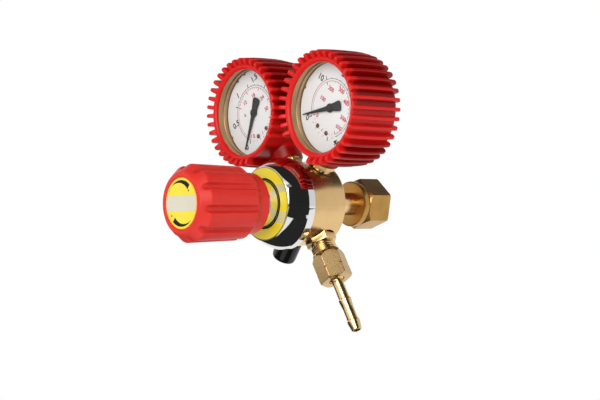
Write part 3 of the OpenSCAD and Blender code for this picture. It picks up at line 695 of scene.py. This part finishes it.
knobFilm, knobRim, knobBand, knobInk = makeKnobLabel(labelShape)
finishPiece(knobFilm, "labelYellow", "label_print", "knob_label", body="knob")
for piece, finish in ((knobRim, "labelOrange"), (knobBand, "labelWhite"), (knobInk, "inkBlack")):
    finishPiece(piece, finish, "label_print", body="knob")
ringFilm, ringShadeRings, ringPatches = makeRingLabel(labelShape)
finishPiece(ringPatches, "labelCream", "label_print")
finishPiece(ringFilm, "labelYellow", "label_print", "bonnet_label")
# the black rings are painted shade, in black ink
finishPiece(ringShadeRings, "inkBlack", "label_print")
print("labels made")


# Body: turned brass with spot faces for its four ports
bodyShape = {"radius": 27.5, "spigot": 25.9, "edge": 1.4, "boss": 13.5, "bossEdge": 0.8, "centre": 7,
             "portEnd": 45, "spotRadius": 8.6, "spotDepth": 25.5, "lowSpotRadius": 10.0, "lowSpotDepth": 24.5,
             "pipe": 6.58, "socketBottom": 15.0}


def makeBody(shape):
    radius, boss, edge, centre = shape["radius"], shape["boss"], shape["edge"], shape["centre"]
    front, back, end, bossEdge = place["bodyFront"], place["bodyBack"], place["bossEnd"], shape["bossEdge"]
    outline = [(0, front), (shape["spigot"], front), (radius, front), (radius, back - edge)]
    outline += near(radius, back, (-0.4, -0.4), (-edge, 0))
    outline += near(boss, back, (2, 0), (0.7, 0.4), (0.15, 1.1), (0, 2))
    outline += near(boss, end, (0, -bossEdge), (-bossEdge, 0))
    outline += near(centre, end, (0, 0), (0, -1), (-centre, -1))
    body = alongY(turnPiece("bodyTurned", outline, steps=192))
    for turn, spot in ((portAngle, "spot"), (-portAngle, "spot"), (math.pi - portAngle, "lowSpot"),
                       (portAngle - math.pi, "lowSpot")):
        outer = shape["portEnd"]
        face = cylinderAt("spotTool", shape[spot + "Radius"], shape[spot + "Depth"], outer, sides=96)
        cutAway(body, atPort(face, turn))
        cutAway(body, atPort(cylinderAt("pipeTool", shape["pipe"], shape["socketBottom"], outer), turn))
    return body


finishPiece(makeBody(bodyShape), "bodyBrass", "brass_body", "body", smooth=25)
print("body made")


# Inlet: stem with its collar, swivelling nut, gasket and filter
inletShape = {"stem": 7.5, "collar": 11.2, "bore": 3.2, "tenon": 6.5, "tenonLength": 12, "filter": 4.2,
              "filterDepth": 10.5, "gasket": 1.5, "gasketInner": 6, "gasketOuter": 10.8, "collarLength": 4,
              "nutFlats": 30, "nutTurn": 20.3, "nutRound": 15.2, "nutStem": 7.56, "nutSeat": -5.8,
              "nutRelief": 11.9, "hexLength": 18.3, "thread": 11.456, "threadDepth": 0.55, "threadPitch": 1.3,
              "threadCount": 10}


def hexPiece(name, flats, z0, z1, turn):
    return roundEdges(turnBy(cylinderAt(name, flats / math.sqrt(3), z0, z1, sides=6), z=turn), 0.3, 3, 30)


def makeStem(shape):
    stem, collar, bore, tenon = shape["stem"], shape["collar"], shape["bore"], shape["tenon"]
    end, seat, depth = place["bossEnd"], -shape["gasket"], -shape["filterDepth"]
    start, back = seat - shape["collarLength"], end - shape["tenonLength"]
    outline = [(bore, back), (tenon, back), (tenon, end), (stem, end), (stem, start), (collar, start),
               (collar, seat), (shape["filter"], seat), (shape["filter"], depth), (bore, depth)]
    return alongY(roundEdges(turnPiece("inletStemTurned", outline, closed=True), 0.25, 2, 40))


def makeInletNut(shape):
    front, mouth, flat = place["nutFront"], place["nutMouth"], place["nutMouth"] - shape["hexLength"]
    corner, rounded, thread = shape["nutFlats"] / math.sqrt(3), shape["nutRound"], shape["thread"]
    nut = hexPiece("inletNutHex", shape["nutFlats"], flat, mouth, 30 - shape["nutTurn"])
    lens = ([(0, flat - 1)] + near(rounded, flat, (-0.6, -1), (-0.2, 0)) + [(corner + 0.2, flat + 2.3)]
            + near(corner, mouth, (0.2, -0.8), (-1.0, 0)) + [(0, mouth)])
    cutAway(nut, turnPiece("nutLens", lens, steps=120), "INTERSECT")
    collar = ([(0, front)] + near(rounded, front, (-1.1, 0), (-0.3, 0.25), (0, 0.9))
              + near(rounded, flat, (0, -0.9), (-0.55, 0.1)) + [(0, flat + 0.1)])
    cutAway(nut, turnPiece("nutCollar", collar, steps=120), "UNION")
    bore = [(0, front - 1), (shape["nutStem"], front - 1), (shape["nutStem"], shape["nutSeat"]),
            (shape["nutRelief"], shape["nutSeat"]), (shape["nutRelief"], 0)]
    for i in range(shape["threadCount"]):
        bore += near(thread, 0.4 + i * shape["threadPitch"], (0, 0), (shape["threadDepth"], 0.67))
    bore += near(thread, mouth, (0, -0.6), (0.7, 0.1)) + [(0, mouth + 0.1)]
    cutAway(nut, turnPiece("nutBore", bore, steps=120))
    return alongY(nut)


def makeGasket(shape):
    gasket = makeRing("inletGasketRing", shape["gasketInner"], shape["gasketOuter"], -shape["gasket"], 0)
    return roundEdges(gasket, 0.2, 2, 40)


finishPiece(makeStem(inletShape), "stemBrass", "brass_bright", "inlet_stem")
finishPiece(makeInletNut(inletShape), "nutBrass", "brass_dark", "inlet_nut", body="inlet_nut")
finishPiece(makeGasket(inletShape), "gasketGrey", "gasket_fibre", "inlet_gasket")
print("inlet made")


# Outlet: adapter, hose nut with its left-hand notches, and barbed tail
outletTilt = math.pi - portAngle
outletShape = {"adapterFlats": 17.5, "adapterStart": 24.5, "adapterEnd": 31.0, "adapterTurn": -12,
               "chamfer": 8.7, "socket": 6.4, "core": 7.4, "thread": 8.28, "threadDepth": 0.65,
               "pitch": 1.337, "seatDepth": 7.2, "seatRadius": 6.0, "coneEnd": 2.6,
               "nutFlats": 19, "nutTop": 37.3, "nutEnd": 57.3, "nutTurn": -25.5, "nutThread": 8.36,
               "nutThreadDepth": 13, "bore": 5.2,
               "tail": 3.6, "tailBore": 2.2, "nipple": 7.6, "barb": 71.3, "tailEnd": 93.5}


def threadRidges(radius, depth, pitch, start, end):
    spots = []
    for i in range(int((end - start) / pitch)):
        z = start + i * pitch
        spots += [(radius - depth, z), (radius, z + 0.42 * pitch), (radius, z + 0.58 * pitch)]
    return spots


def hexNut(name, flats, start, end, turn, lensOutline, cutters=()):
    nut = hexPiece(name, flats, start, end, turn)
    cutAway(nut, turnPiece(name + "Lens", lensOutline, steps=120), "INTERSECT")
    for outline, closed in cutters:
        cutAway(nut, turnPiece(name + "Cut", outline, closed=closed))
    return nut


def makeAdapter(shape):
    start, end, corner = shape["adapterStart"], shape["adapterEnd"], shape["adapterFlats"] / math.sqrt(3)
    socket, core, cone = shape["socket"], shape["core"], shape["coneEnd"]
    seatEnd = shape["nutTop"] + shape["seatDepth"]
    lens = near(0, start, (0, -0.1), (shape["chamfer"], -0.1), (corner, 0.9))
    lens += near(0, end, (corner, -0.9), (shape["chamfer"], 0.1), (0, 0.1))
    collar = hexNut("adapterHex", shape["adapterFlats"], start, end, shape["adapterTurn"], lens)
    outline = near(0, start, (0, -7), (socket, -7), (socket, 0.5), (core, 0.5)) + [(core, end + 1.2)]
    outline += threadRidges(shape["thread"], shape["threadDepth"], shape["pitch"], end + 1.4, seatEnd - 0.8)
    outline += near(0, seatEnd, (core, 0), (shape["seatRadius"], 0), (cone, -3.0), (cone, -20), (0, -20))
    return joinAll([collar, turnPiece("adapterThread", outline)])


def makeHoseNut(shape):
    top, end, flats = shape["nutTop"], shape["nutEnd"], shape["nutFlats"]
    corner, half = flats / math.sqrt(3), flats / 2
    lens = [(0, top - 0.1)] + near(half, top, (-0.9, -0.1), (-0.6, 0.2), (-0.5, 1.2))
    lens += [(corner + 0.1, top + 4.7)] + near(corner, end, (0.1, -1.1), (-1.1, 0.1)) + [(0, end + 0.1)]
    shoulder, thread, bore = top + shape["nutThreadDepth"], shape["nutThread"], shape["bore"]
    hollow = [(0, top - 1), (thread, top - 1), (thread, shoulder), (bore, shoulder), (bore, end + 1),
              (0, end + 1)]
    notch = [(half + 0.45, top + 12.2), (corner + 1, top + 11.1), (corner + 1, top + 13.3)]
    return hexNut("hoseNutHex", flats, top, end, shape["nutTurn"], lens, ((hollow, False), (notch, True)))


def makeTail(shape):
    tail, bore, nipple, top = shape["tail"], shape["tailBore"], shape["nipple"], shape["nutTop"]
    outline = near(0, top, (bore, 5.6), (3.3, 5.6), (6.1, 8.1), (nipple, 8.9), (nipple, 12.7), (5.15, 12.7))
    outline += near(0, shape["nutEnd"], (5.15, -0.8), (4.9, -0.4), (4.4, 0), (tail + 0.15, 0.4), (tail, 1.2))
    outline += near(tail, shape["barb"], (0, -0.2), (0.25, 0), (0.55, 0.25), (0.6, 0.6), (0.5, 1.5), (0.2, 4),
                    (0, 6.2), (-0.05, 7.2))
    outline += near(tail, shape["tailEnd"], (-0.05, -7.3), (0.2, -7.1), (0.5, -6.85), (0.55, -6.5),
                    (0.45, -5.4), (-0.3, -0.5), (-0.45, -0.15), (-0.75, 0))
    outline += near(bore, shape["tailEnd"], (0.25, 0), (0, -0.25))
    return turnPiece("hoseTailTurned", outline, steps=72, closed=True)


adapter, hoseNut, tail = (atPort(make(outletShape), outletTilt)
                          for make in (makeAdapter, makeHoseNut, makeTail))
finishPiece(adapter, "brightBrass", "brass_bright", "outlet_adapter", smooth=28)
finishPiece(hoseNut, "hoseNutBrass", "brass_dark", "outlet_nut", body="hose_nut", smooth=28)
finishPiece(tail, "tailBrass", "brass_bright", "hose_tail", body="tail", smooth=50)
print("outlet made")


# Relief valve: hexagon post under a black cap
reliefTilt = portAngle - math.pi
reliefShape = {"start": 24.5, "end": 43.5, "flats": 15, "flatsTurn": -30, "collar": 4, "chamfer": 7.4,
               "corner": 8.7, "socket": 6.4, "post": 6, "vent": 1, "seat": 1.2, "well": 3.4, "cap": 8.2,
               "capGap": 4.3, "capTop": 3}


def makeReliefPost(shape):
    start, end, vent, seat, well = shape["start"], shape["end"], shape["vent"], shape["seat"], shape["well"]
    chamfer, corner, socket, post = shape["chamfer"], shape["corner"], shape["socket"], shape["post"]
    top = start + shape["collar"]
    lens = near(0, start, (0, -0.1), (chamfer, -0.1), (corner, 0.7))
    lens += near(0, top, (corner, -0.7), (chamfer, 0.1), (0, 0.1))
    collar = hexNut("reliefHex", shape["flats"], start, top, shape["flatsTurn"], lens)
    outline = near(0, start, (seat, -7), (socket, -7), (socket, 0.4), (post, 3.8))
    outline += near(0, end, (post, -5.8), (post - 0.3, -5.5), (vent, -5.5), (vent, -7.5), (well, -7.5))
    outline += near(0, start, (well, -3), (seat, -3))
    return joinAll([collar, turnPiece("reliefPost", outline, steps=72, closed=True)])


def makeReliefCap(shape):
    start, end, cap = shape["start"] + shape["capGap"], shape["end"], shape["cap"]
    post, seat = shape["post"], shape["seat"]
    outline = [(post, start)] + near(cap, start, (-0.5, 0), (-0.12, 0.15), (0, 0.5))
    outline += near(cap, end, (-0.15, -3), (-0.5, -1.3), (-1.0, -0.6), (-1.7, -0.2), (-2.6, 0))
    outline += near(0, end, (seat, 0), (seat, -shape["capTop"]), (post, -shape["capTop"]))
    return turnPiece("reliefCapTurned", outline, closed=True)


finishPiece(atPort(makeReliefPost(reliefShape), reliefTilt), "brightBrass", "brass_bright", "relief_body")
finishPiece(atPort(makeReliefCap(reliefShape), reliefTilt), "capBlack", "cap_black", "relief_cap", smooth=45)
print("relief valve made")


# Gauges: rubber boots with radial ribs, cases, windows, dials and pointers
gaugeShape = {"opening": 28.5, "boot": 32.3, "ribs": 36.9, "ribRoot": 3.0, "ribCrest": 2.2, "ribCount": 36,
              "ribRound": 0.7, "freeOutward": 15, "freeInward": 25, "skirtLow": 39.1, "socketHole": 8.6,
              "caseHole": 8.25, "holeFrom": -40, "holeTo": -20, "case": 30.75, "caseFit": 0.05, "inner": 29.6,
              "front": -69.5, "back": -35.5, "bootBack": -33.5, "dial": 29.0,
              "window": 29.5, "windowBack": -68.1, "windowEdge": 0.15}


def turnedCopies(piece, clocks):
    copies = [turnBy(copyOf(piece, piece.name + "Copy"), y=clock) for clock in clocks]
    bpy.data.objects.remove(piece)
    return copies


def makeRib(shape):
    front, back, thick = place["openingY"], shape["bootBack"], shape["ribRoot"]
    low, high = shape["boot"], shape["ribs"]
    outline = near(front, low, (0.6, -0.9), (-1.2, -1.8), (-2.6, -0.4), (-3.7, 1.4), (-4.0, 2.2))
    outline += near(front, high, (-3.95, -1.9), (-3.7, -1.3), (-2.7, -0.8), (5, -0.25), (13, 0))
    outline += [(portY, high)]
    outline += near(back, high, (-9, -0.25), (-2.6, -1.0), (-1.4, -1.25), (-0.5, -2.0), (0, -3.0))
    outline += near(back, low, (-0.8, -0.2), (-2.4, -0.9))
    foot = min(z for y, z in outline)
    rib = plateFrom("bootRib", outline, thick)
    for height in sorted({round(z, 3) for y, z in outline}):
        width = thick + (shape["ribCrest"] - thick) * (height - foot) / (high - foot)
        selectWhere(rib, "VERT", lambda v: abs(v.co.z / mm - height) < 0.002)
        bpy.ops.transform.resize(value=(1, width / thick, 1), center_override=(0, thick / 2 * mm, 0))
    bpy.ops.object.mode_set(mode="OBJECT")
    roundEdges(rib, shape["ribRound"], 3, 50)
    return setDown(rib, (thick / 2 * mm, 0, 0), (0, 0, math.pi / 2))


def socketHole(piece, radius):  # opens the piece for its gauge's socket
    tool = cylinderAt("socketTool", radius, gaugeShape["holeFrom"], gaugeShape["holeTo"])
    return cutAway(piece, moveTo(tool, 0, portY, 0))


def makeBootShell(shape):
    opening, wall, case = shape["opening"], shape["boot"], shape["case"] + shape["caseFit"]
    hole, low = shape["socketHole"], -shape["skirtLow"]
    front, back, caseFront, caseBack = place["openingY"], shape["bootBack"], shape["front"], shape["back"]
    outline = [(opening, caseFront)] + near(opening, front, (0, 0.35), (0.08, 0), (0.35, -0.5), (0.8, -0.95),
                                            (1.5, -1.35), (2.1, -1.5))
    outline += near(wall, front, (-1.4, -1.5), (-0.8, -1.3), (-0.3, -0.8), (0, 0))
    outline += near(wall, back, (0, -3.4), (-0.6, -1.5), (-1.3, -0.7), (-2.2, -0.2), (-3.2, 0))
    outline += near(case, back, (-4.6, 0), (-5, -0.4))
    outline += near(case, caseBack, (-5, 0), (-1.5, 0), (-0.45, -0.45), (0, -1.5)) + [(case, caseFront)]
    boot = socketHole(alongY(turnPiece("bootShell", outline, steps=160, closed=True)), hole)
    skirt = near(hole, low, (0, 0), (0.7, 0), (1.05, 0.15), (1.25, 0.5))
    skirt += [(10.6, -34), (12.2, -30), (13.4, -27.8), (hole, -27.8)]
    skirt = moveTo(turnPiece("bootSkirt", skirt, steps=72, closed=True), 0, portY, 0)
    return joinAll([boot, cutAway(skirt, discAt("caseTool", case, caseFront, caseBack))])


def makeBoot(shape, side):
    clocks = [i * 360 / shape["ribCount"] for i in range(shape["ribCount"])]
    outward = {clock: gaugeSides[side] * (180 - clock) for clock in clocks}
    kept = [c for c in clocks if outward[c] > shape["freeOutward"] or outward[c] < -shape["freeInward"]]
    return joinAll([makeBootShell(shape)] + turnedCopies(makeRib(shape), kept))


def makeCase(shape):
    inner, outer, front, back = shape["inner"], shape["case"], shape["front"], shape["back"]
    ledge = place["dialY"]
    outline = [(inner, front), (outer, front)] + near(outer, back, (0, -1.5), (-0.45, -0.45), (-1.5, 0))
    outline += near(0, back, (5, 0), (5, -0.6), (4, -0.6), (4, -1.2))
    outline += near(inner, back, (-1, -1.2), (0, -2.2))
    outline += near(inner, ledge, (0, 2.2), (-2.2, 2.2), (-2.2, 0.8), (0, 0.8), (0, -1.5), (-0.7, -1.7),
                    (-0.7, -3.4), (-0.45, -3.7), (0, -3.8))
    case = alongY(turnPiece("gaugeCaseTurned", outline, steps=160, closed=True))
    return socketHole(case, shape["caseHole"])


def makeWindow(shape):
    pane = discAt("windowPane", shape["window"], shape["front"], shape["windowBack"])
    return roundEdges(pane, shape["windowEdge"], 2, 40)


def placeOnGauges(piece, name, finish, slotName, body="regulator", smooth=35):  # a twin for each gauge
    for side in gaugeSides:
        twin = atGauge(copyOf(piece, name + side.capitalize()), side)
        finishPiece(twin, finish, slotName, name + "_" + side, body=body.format(side), smooth=smooth)
    bpy.data.objects.remove(piece)


for side in gaugeSides:
    rubber = "bootRed" + side.capitalize()
    # each boot's rubber carries painted shade in its rib valleys and lower part
    finishes[rubber] = bootPaintedShadeFinish(rubber, side, bootRed)
    finishPiece(atGauge(makeBoot(gaugeShape, side), side), rubber, "boot_red", "boot_" + side, smooth=40)
print("boots made")


# Sockets: a slim brass neck under each gauge with the block that holds its tube, and its washer
socketShape = {"pipe": 6.4, "pipeStart": 19.5, "seat": 25.5, "neck": 7.0, "hexStart": 28.6, "hexEnd": 32.2,
               "hexFlats": 14.6, "hexTurn": 8, "post": 8.15, "postEnd": 44.75, "bore": 1.5,
               "washerHole": 7.02, "washer": 8.0, "washerEnd": 26.7,
               "blockWidth": 14, "blockDepth": 8, "blockLow": -27.75, "blockHigh": -23.5}


def makeSocket(shape):
    bore, pipe, seat, neck, post = shape["bore"], shape["pipe"], shape["seat"], shape["neck"], shape["post"]
    start, end, hexEnd = shape["pipeStart"], shape["postEnd"], shape["hexEnd"]
    outline = [(bore, start), (pipe, start), (pipe, seat), (neck, seat), (neck, hexEnd), (post, hexEnd),
               (post, end), (bore, end)]
    column = underGauge(turnPiece("socketTurned", outline, steps=72, closed=True))
    collar = hexPiece("socketHex", shape["hexFlats"], shape["hexStart"], hexEnd, shape["hexTurn"])
    cutAway(collar, cylinderAt("collarTool", neck - 0.3, 20, 40))
    low, high, depth = shape["blockLow"], shape["blockHigh"], shape["blockDepth"]
    clearSelection()
    spot = (0, (place["blockY"] + depth / 2) * mm, (low + high) / 2 * mm)
    bpy.ops.mesh.primitive_cube_add(size=1, location=spot)
    block = newPiece("socketBlock")
    block.scale = (shape["blockWidth"] * mm, depth * mm, (high - low) * mm)
    return joinAll([column, underGauge(collar), roundEdges(applyPlace(block), 0.3, 2, 40)])


def makeWasher(shape):
    hole, washer, seat, end = shape["washerHole"], shape["washer"], shape["seat"], shape["washerEnd"]
    outline = [(hole, seat), (washer, seat), (washer, end), (hole, end)]
    return underGauge(roundEdges(turnPiece("socketWasher", outline, steps=72, closed=True), 0.2, 2, 40))


placeOnGauges(makeSocket(socketShape), "socket", "brightBrass", "brass_bright", smooth=28)
placeOnGauges(makeWasher(socketShape), "washer", "screwBronze", "screw_bronze")
print("sockets made")

placeOnGauges(makeCase(gaugeShape), "case", "caseTan", "case_metal")
placeOnGauges(makeWindow(gaugeShape), "window", "clearWindow", "window_clear")
print("cases and windows made")


# Dials: plates with edge notches, printed scales with plain numbers, and screws
dialShape = {"thickness": 0.8, "hub": 2, "screw": 0.85, "screwX": 4.8, "screwZ": -15.6, "notch": 1.2,
             "ink": 0.02, "bold": 0.13, "boldSix": 0.075, "letterShare": 0.7, "zero": 225, "sweep": 270,
             "line": 0.3, "smallWidth": 0.34, "largeWidth": 0.6}
notchClocks = {"low": (9, 352, 268, 186), "high": (9, 352, 268, 136)}

# Each ink has its line's radius, its ticks' side and lengths and its numbers' height
inks = {"Black": {"radius": 18.4, "out": 1, "small": 0.9, "large": 2.6, "height": 3.9},
        "Red": {"radius": 17.0, "out": -1, "small": 0.8, "large": 2.0, "height": 2.6}}

# Each scale has its counts of small and large ticks, and its numbers as (text, clock angle, radius)
scales = {
    "low": {"Black": (25, 5, (("0", 231, 24.2), ("0.5", 282, 21.1), ("1", 336, 21.9), ("1.5", 30, 23.2),
                              ("2", 84, 23), ("2.5", 135, 23))),
            "Red": (36, 6, (("0", 214, 15.5), ("6", 295, 10.3), ("12", 336, 12.6), ("18", 24, 11.7),
                            ("24", 71, 12.5), ("30", 112, 12.5)))},
    "high": {"Black": (20, 4, (("0", 225, 23), ("10", 302, 22.2), ("20", 0, 23.6), ("30", 68, 23.5),
                               ("40", 135, 23))),
             "Red": (30, 6, (("0", 220, 13.5), ("100", 277, 10.1), ("200", 328, 11.9), ("300", 11, 14.1),
                             ("400", 47, 14.2), ("500", 90, 13.2), ("600", 118, 14.4)))}}


def makeDial(shape, side):
    face = place["dialY"]
    plate = discAt("dialPlate", gaugeShape["dial"], face, face + shape["thickness"])
    tools = [cylinderAt("dialTool", shape["hub"], -1, 1)]
    tools += [cylinderAt("dialTool", shape["screw"], -1, 1, x, -shape["screwZ"])
              for x in (-shape["screwX"], shape["screwX"])]
    for clock in notchClocks[side]:
        x, z = clockSpot(clock, gaugeShape["dial"])
        tools.append(cylinderAt("dialTool", shape["notch"], -1, 1, x, -z, sides=32))
    tool = moveTo(alongY(joinAll(tools)), 0, face + shape["thickness"] / 2, 0)
    return roundEdges(cutAway(plate, tool), 0.06, 1, 40)


def arcBand(start, end, inner, outer, steps=72):
    turns = spread(start, end, steps + 1)
    return [clockSpot(clock, outer) for clock in turns] + [clockSpot(clock, inner) for clock in turns[::-1]]


def tickRing(start, sweep, count, inner, outer, width):
    half = width / 2
    outline = [(-half, inner), (half, inner), (half, outer), (-half, outer)]
    tick = turnBy(flatInk("dialTicks", outline, place["dialY"]), y=start)
    selectWhere(tick, "FACE", lambda face: True)
    bpy.ops.mesh.spin(steps=count, dupli=True, angle=math.radians(sweep), center=(0, 0, 0), axis=(0, 1, 0))
    bpy.ops.object.mode_set(mode="OBJECT")
    return tick


def textPlate(shape, text, clock, radius, height):
    clearSelection()
    bpy.ops.object.text_add()
    words = bpy.context.object
    words.name = "dialNumber"
    words.data.body = text
    words.data.size = height / shape["letterShare"] * mm
    words.data.align_x, words.data.align_y = "CENTER", "CENTER"
    words.data.extrude = shape["ink"] / 2 * mm
    words.data.offset = shape["boldSix" if "6" in text else "bold"] * mm
    bpy.ops.object.convert(target="MESH")
    x, z = clockSpot(clock, radius)
    return setDown(words, (x * mm, (place["dialY"] - shape["ink"] / 2) * mm, z * mm), (math.pi / 2, 0, 0))


def makeScale(shape, ink, minors, majors, numbers):
    line, start, sweep = ink["radius"], shape["zero"], shape["sweep"]
    parts = [flatInk("dialArc", arcBand(start, start + sweep, line, line + shape["line"]), place["dialY"])]
    for count, size in ((minors, "small"), (majors, "large")):
        inner, outer = sorted((line, line + ink["out"] * ink[size]))
        parts.append(tickRing(start, sweep, count, inner, outer, shape[size + "Width"]))
    return joinAll(parts + [textPlate(shape, *number, ink["height"]) for number in numbers])


for side in gaugeSides:
    finishPiece(atGauge(makeDial(dialShape, side), side), "dialWhite", "dial_white", "dial_" + side)
    for name, ink in inks.items():
        scale = makeScale(dialShape, ink, *scales[side][name])
        finishPiece(atGauge(scale, side), "ink" + name, "dial_white")
print("dials made")


# Pointers: a tapered blade with a wide tail on a turned hub, set at zero
pointerShape = {"clock": 231, "tip": 26.0, "thickness": 0.6, "hub": 2.9, "pin": 0.85,
                "flank": ((0.85, 15), (1.35, 6), (1.7, 2.4), (2.3, -1.8), (3.1, -6.6), (3.35, -8.2),
                          (3.2, -9.3), (2.6, -10.0), (1.8, -10.3))}


def makePointer(shape):
    y, hub, pin = place["pointerY"], shape["hub"], shape["pin"]
    right = [(0.3, shape["tip"])] + list(shape["flank"])
    outline = right + [(-x, z) for x, z in right[::-1]]
    blade = moveTo(roundEdges(plateFrom("pointerBlade", outline, shape["thickness"]), 0.1, 1, 50), 0, y, 0)
    profile = [(0, y - 0.5)] + near(hub, y, (-0.6, -0.5), (-0.2, -0.3), (0, 0.1), (0, 1.1))
    profile += near(pin, y, (0, 1.1), (0, 0.5)) + [(0, y + 0.5)]
    return turnBy(joinAll([blade, alongY(turnPiece("pointerHub", profile, steps=48))]), y=shape["clock"])


placeOnGauges(makePointer(pointerShape), "pointer", "pointerBlack", "pointer_black", body="pointer_{}")
print("pointers made")


# Springs: each is wound from a round wire up to its fixed end
springShapes = {
    "adjusting_spring": {"radius": 10.2, "wire": 1.3, "turns": 4.5, "low": -95.7, "fixed": -73.9,
                         "joint": "screw_advance", "travel": 7.5, "axis": (0, 1, 0)},
    "poppet_spring": {"radius": 3.5, "wire": 0.35, "turns": 6, "low": -48.4, "fixed": -40.5,
                      "joint": "valve_lift", "travel": 0.8, "axis": (0, 1, 0)},
    "relief_spring": {"radius": 2.5, "wire": 0.35, "turns": 6, "low": 26.1, "fixed": 36.0,
                      "joint": "relief_lift", "travel": 1.5, "axis": (-0.532867, 0, -0.846199)}}


def windSpring(name, shape, wireSides=12, turnSteps=28):
    length, wire, steps = shape["fixed"] - shape["low"], shape["wire"], int(shape["turns"] * turnSteps)
    clearSelection()
    bpy.ops.mesh.primitive_circle_add(vertices=wireSides, radius=wire * mm, rotation=(math.pi / 2, 0, 0),
                                      location=(shape["radius"] * mm, 0, 0))
    spring = applyPlace(newPiece(name))
    addModifier(spring, "SCREW", angle=2 * math.pi * shape["turns"], steps=steps, render_steps=steps,
                screw_offset=(length - 2 * wire) * mm)
    bpy.ops.object.mode_set(mode="EDIT")
    bpy.ops.mesh.select_all(action="SELECT")
    bpy.ops.mesh.fill_holes(sides=0)
    faceOutwards()
    moveTo(spring, 0, 0, shape["low"] + wire)
    return alongY(spring) if shape["axis"][1] else atPort(spring, reliefTilt)


for name, shape in springShapes.items():
    spring = finishPiece(windSpring(name.replace("_s", "S"), shape), "springSteel", "spring_steel", name)
    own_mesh(spring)
print("springs made")


# Inner and hidden nodes stay as packed, and take their finishes
keptNodes = {
    "filterBronze": ("inlet_filter",), "sealBlack": ("diaphragm", "vent_plug_{}"),
    "plated": ("clamp_ring", "diaphragm_plate", "spring_button", "adjusting_screw", "link_{}"),
    "brightBrass": ("seat_nozzle", "poppet", "movement_{}", "pinion_{}"),
    "nutBrass": ("relief_poppet", "sector_{}"), "screwBronze": ("dial_screws_{}",),
    "tailBrass": ("bourdon_tube_{}",)}
for finish, patterns in keptNodes.items():
    for name in sorted({pattern.format(side) for pattern in patterns for side in gaugeSides}):
        paint(nodes[name], finish)
print("inner nodes finished")
